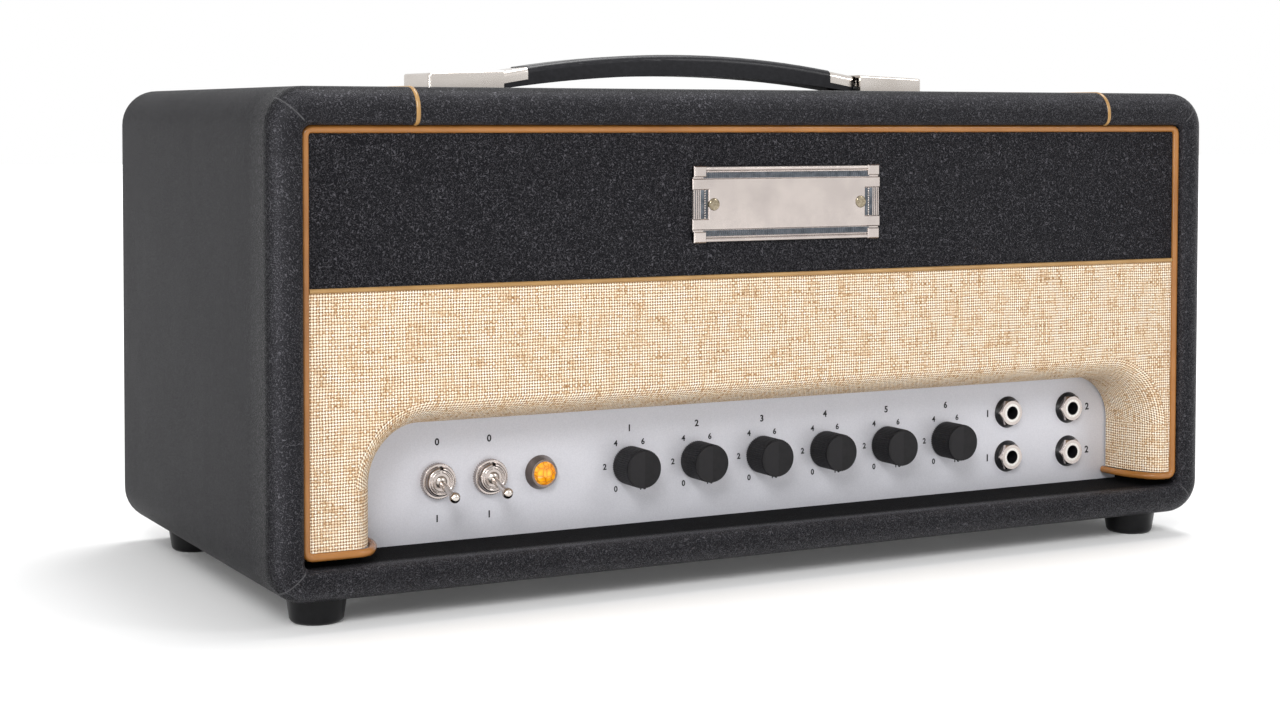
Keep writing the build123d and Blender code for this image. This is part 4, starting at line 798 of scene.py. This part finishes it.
knob_at = [middle(f"knob_{i}") for i in range(1, 7)]
axis_z = knob_at[0][2]
toggle_at = [middle(name)[0] for name in ("mains_lever", "standby_lever")]
label_h = 0.0030
scale_h = 0.0026
jack_figure_h = 0.0034
upper_z = axis_z + 0.0172
lower_z = axis_z - 0.0168
scale_radius = 0.0127
scale_turns = (-146.5, -90, -34, 34, 90, 146.5)
for number, (x, y, z) in enumerate(knob_at, 1):
    printed(str(number), x, upper_z, label_h)
    for i, turn in enumerate(scale_turns):
        a = math.radians(turn)
        printed(str(2 * i), x + scale_radius * math.sin(a), z + scale_radius * math.cos(a), scale_h)
for x in toggle_at:
    printed("0", x, upper_z, label_h)
    printed("1", x, lower_z, label_h)
jack_xs = (0.1520, 0.1906)
jack_zs = (axis_z + 0.0112, axis_z - 0.0112)
beside_jack = 0.0125
for z in jack_zs:
    printed("1", jack_xs[0] - beside_jack, z, jack_figure_h)
    printed("2", jack_xs[1] + beside_jack, z, jack_figure_h)
panel_print = joined("panel_print", prints)
ink.on(panel_print)


# ---------------------------------------------------------------- knobs
# Moulded black plastic with a ribbed side. The turned face has faint rings, and the half where they
# catch the light is painted lighter, as a painted highlight.
for i, (x, y, z) in enumerate(knob_at, 1):
    knob_plastic = Finish(f"knob_plastic_{i}", Specular_IOR_Level=0.20)
    here = knob_plastic.place()
    knob_tone = knob_plastic.noise(here, 420.0, 3.0)
    face_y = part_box(f"knob_{i}")[0][1]
    # painted highlight: the left half of each face is painted lighter
    lit_half = (knob_plastic.axis(here, "Y") < face_y + 0.0004) * (knob_plastic.axis(here, "X") < x)
    moulded = knob_plastic.two_tone(knob_tone, (0.0040, 0.0037, 0.0045), (0.0090, 0.0083, 0.0095))
    knob_plastic.feed("Base Color", knob_plastic.mix(lit_half * 0.6, moulded, (0.015, 0.0142, 0.0158)))
    knob_plastic.feed("Roughness", 0.30 + knob_tone * 0.2)
    knob_plastic.feed("Normal", knob_plastic.relief(knob_tone, 0.00005, 0.4))
    knob_plastic.on(f"knob_{i}")


# ---------------------------------------------------------------- toggle switches
# Nickel-plated bush, knurled ring nut and bat-shaped lever, over a moulded body inside the chassis.
# A rolled rim closes each bush, and the lever's ball is rougher where it sits in the hollow, and painted dark
# there as painted shade.
def turned(profile, x, z, gap):
    """A ring turned about an axis along y, from pairs of radius and y, open for `gap` degrees at its top."""
    turns = [math.radians(90 + gap / 2 + (360 - gap) * i / 64) for i in range(65)]
    return grid([[(x + r * math.cos(a), y, z + r * math.sin(a)) for a in turns] for r, y in profile])


nut_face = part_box("toggle_nuts")[0][1]
bush_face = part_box("toggle_bodies")[0][1]
# from the nut inwards: the rolled rim, a groove and the lip of the hollow
rim = ((0.0069, nut_face + 0.0001), (0.0067, nut_face - 0.0004),
       (0.0063, bush_face - 0.0002), (0.0057, bush_face - 0.0006), (0.0052, bush_face - 0.0005),
       (0.0049, bush_face + 0.0001), (0.0047, bush_face - 0.0002), (0.0042, bush_face - 0.0003),
       (0.0039, bush_face), (0.0038, bush_face + 0.0006))
keyway = 16.0
rims = [turned(rim, x, axis_z, keyway) for x in toggle_at]
toggle_rims = joined("toggle_rims", rims, smooth=True)
nickel.on(toggle_rims, "toggle_nuts", "toggle_bodies")
ball_y = panel_y - 0.0026
for name, x in zip(("mains_lever", "standby_lever"), toggle_at):
    lever = Finish(name + "_plating", Metallic=1.0)
    here = lever.place()
    reach_out = lever.node("ShaderNodeVectorMath", {"operation": "DISTANCE"},
                           {0: here, 1: (x, ball_y, axis_z)}, "Value")
    # painted shade: the lever is painted dark round its ball, down in the bush's hollow
    inside = lever.ramp(reach_out * 100.0, (0.28, 1.0), (0.39, 0.0))
    shine = lever.noise(here, 90.0, 2.0)
    plating = lever.two_tone(shine, (0.55, 0.50, 0.46), (0.68, 0.63, 0.59))
    lever.feed("Base Color", lever.mix(inside, plating, (0.030, 0.022, 0.018)))
    lever.feed("Roughness", 0.14 + inside * 0.4 + shine * 0.06)
    lever.on(name)


# ---------------------------------------------------------------- indicator lamp
# A faceted amber lens in a dark plated cone.
gunmetal = Finish("gunmetal", Metallic=1.0, Roughness=0.22)
gunmetal_tone = gunmetal.noise(gunmetal.place(), 160.0)
gunmetal.feed("Base Color", gunmetal.two_tone(gunmetal_tone, (0.135, 0.108, 0.096), (0.22, 0.185, 0.168)))
gunmetal.on("lamp_bezel")
amber = Finish("amber_lens", Roughness=0.07, Specular_IOR_Level=0.6, Emission_Strength=0.22)
lens_at = amber.pushed(amber.place(), 300.0, 0.0012)
facet = amber.cells(lens_at, 340.0)
crack = amber.ramp(amber.cells(lens_at, 340.0, "DISTANCE_TO_EDGE"), (0.0, 0.0), (0.07, 1.0))
cast = amber.ramp(facet, (0.1, (1.0, 0.50, 0.02)), (0.7, (0.78, 0.27, 0.0)))
amber.feed("Base Color", amber.mix(crack, (0.45, 0.14, 0.0), cast))
glow = amber.ramp(facet, (0.0, (1.0, 0.42, 0.01)), (0.6, (0.80, 0.20, 0.0)))
amber.feed("Emission Color", amber.mix(crack, (0.55, 0.15, 0.0), glow))
amber.feed("Normal", amber.relief(crack, 0.0003, 0.5))
amber.on("lamp_lens")


# ---------------------------------------------------------------- jack sockets
# Black bezel cones under chamfered plated nuts, on black moulded sockets. A plated bush shows as a
# ring round each mouth.
black = Finish("black_moulding", Specular_IOR_Level=0.4)
black_tone = black.noise(black.place(), 800.0, 3.0)
black.feed("Base Color", black.two_tone(black_tone, (0.006, 0.006, 0.007), (0.013, 0.013, 0.015)))
black.feed("Roughness", 0.26 + black_tone * 0.2)
black.on("jack_bezels", "mains_inlet", "fuse_holders", "tube_sockets")
nickel.on("jack_nuts")
socket = Finish("jack_socket", Specular_IOR_Level=0.4)
here = socket.place()
across_jack = abs(abs(socket.axis(here, "X") - sum(jack_xs) / 2) - (jack_xs[1] - jack_xs[0]) / 2)
up_jack = abs(abs(socket.axis(here, "Z") - axis_z) - (jack_zs[0] - jack_zs[1]) / 2)
from_axis = (across_jack * across_jack + up_jack * up_jack) ** 0.5
plated = socket.ramp(from_axis * 100.0, (0.333, 0.0), (0.343, 1.0)) * (socket.axis(here, "Y") < panel_y - 0.001)
socket_tone = socket.noise(here, 800.0, 3.0)
mouth = socket.two_tone(socket_tone, (0.005, 0.005, 0.006), (0.011, 0.011, 0.013))
socket.feed("Base Color", socket.mix(plated, mouth, (0.62, 0.60, 0.57)))
socket.feed("Metallic", plated)
socket.feed("Roughness", 0.32 + socket_tone * 0.2 - plated * 0.16)
socket.on("jack_sockets")


# ---------------------------------------------------------------- inside and back
# The back panel is covered like the cabinet and has a punched steel grille behind its window.
# Transformers, valves and cans stand on the chassis behind it.
plain_vinyl.on("back_panel")
grille = Finish("black_grille", Metallic=0.6, Roughness=0.45)
grille_tone = grille.noise(grille.place(), 300.0)
grille.feed("Base Color", grille.two_tone(grille_tone, (0.02, 0.02, 0.02), (0.04, 0.04, 0.04)))
grille.on("vent_grille")
varnish = Finish("black_varnish", Roughness=0.4)
varnish_tone = varnish.noise(varnish.place((1.0, 1.0, 9.0)), 200.0)
varnish.feed("Base Color", varnish.two_tone(varnish_tone, (0.02, 0.02, 0.022), (0.05, 0.05, 0.055)))
varnish.on("mains_transformer", "output_transformer", "filter_choke")
glass = Finish("valve_glass", Roughness=0.03, Alpha=0.35)
glass_tone = glass.noise(glass.place(), 40.0)
glass.feed("Base Color", glass.two_tone(glass_tone, (0.55, 0.56, 0.57), (0.75, 0.76, 0.77)))
glass.on("power_tubes", "preamp_tubes")
sleeve = Finish("can_sleeve", Roughness=0.4)
sleeve_tone = sleeve.noise(sleeve.place(), 200.0)
sleeve.feed("Base Color", sleeve.two_tone(sleeve_tone, (0.05, 0.09, 0.22), (0.07, 0.12, 0.28)))
sleeve.on("filter_capacitors")
laminate = Finish("board_laminate", Roughness=0.5)
laminate_tone = laminate.noise(laminate.place(), 150.0)
laminate.feed("Base Color", laminate.two_tone(laminate_tone, (0.22, 0.13, 0.06), (0.30, 0.19, 0.09)))
laminate.on("circuit_board")
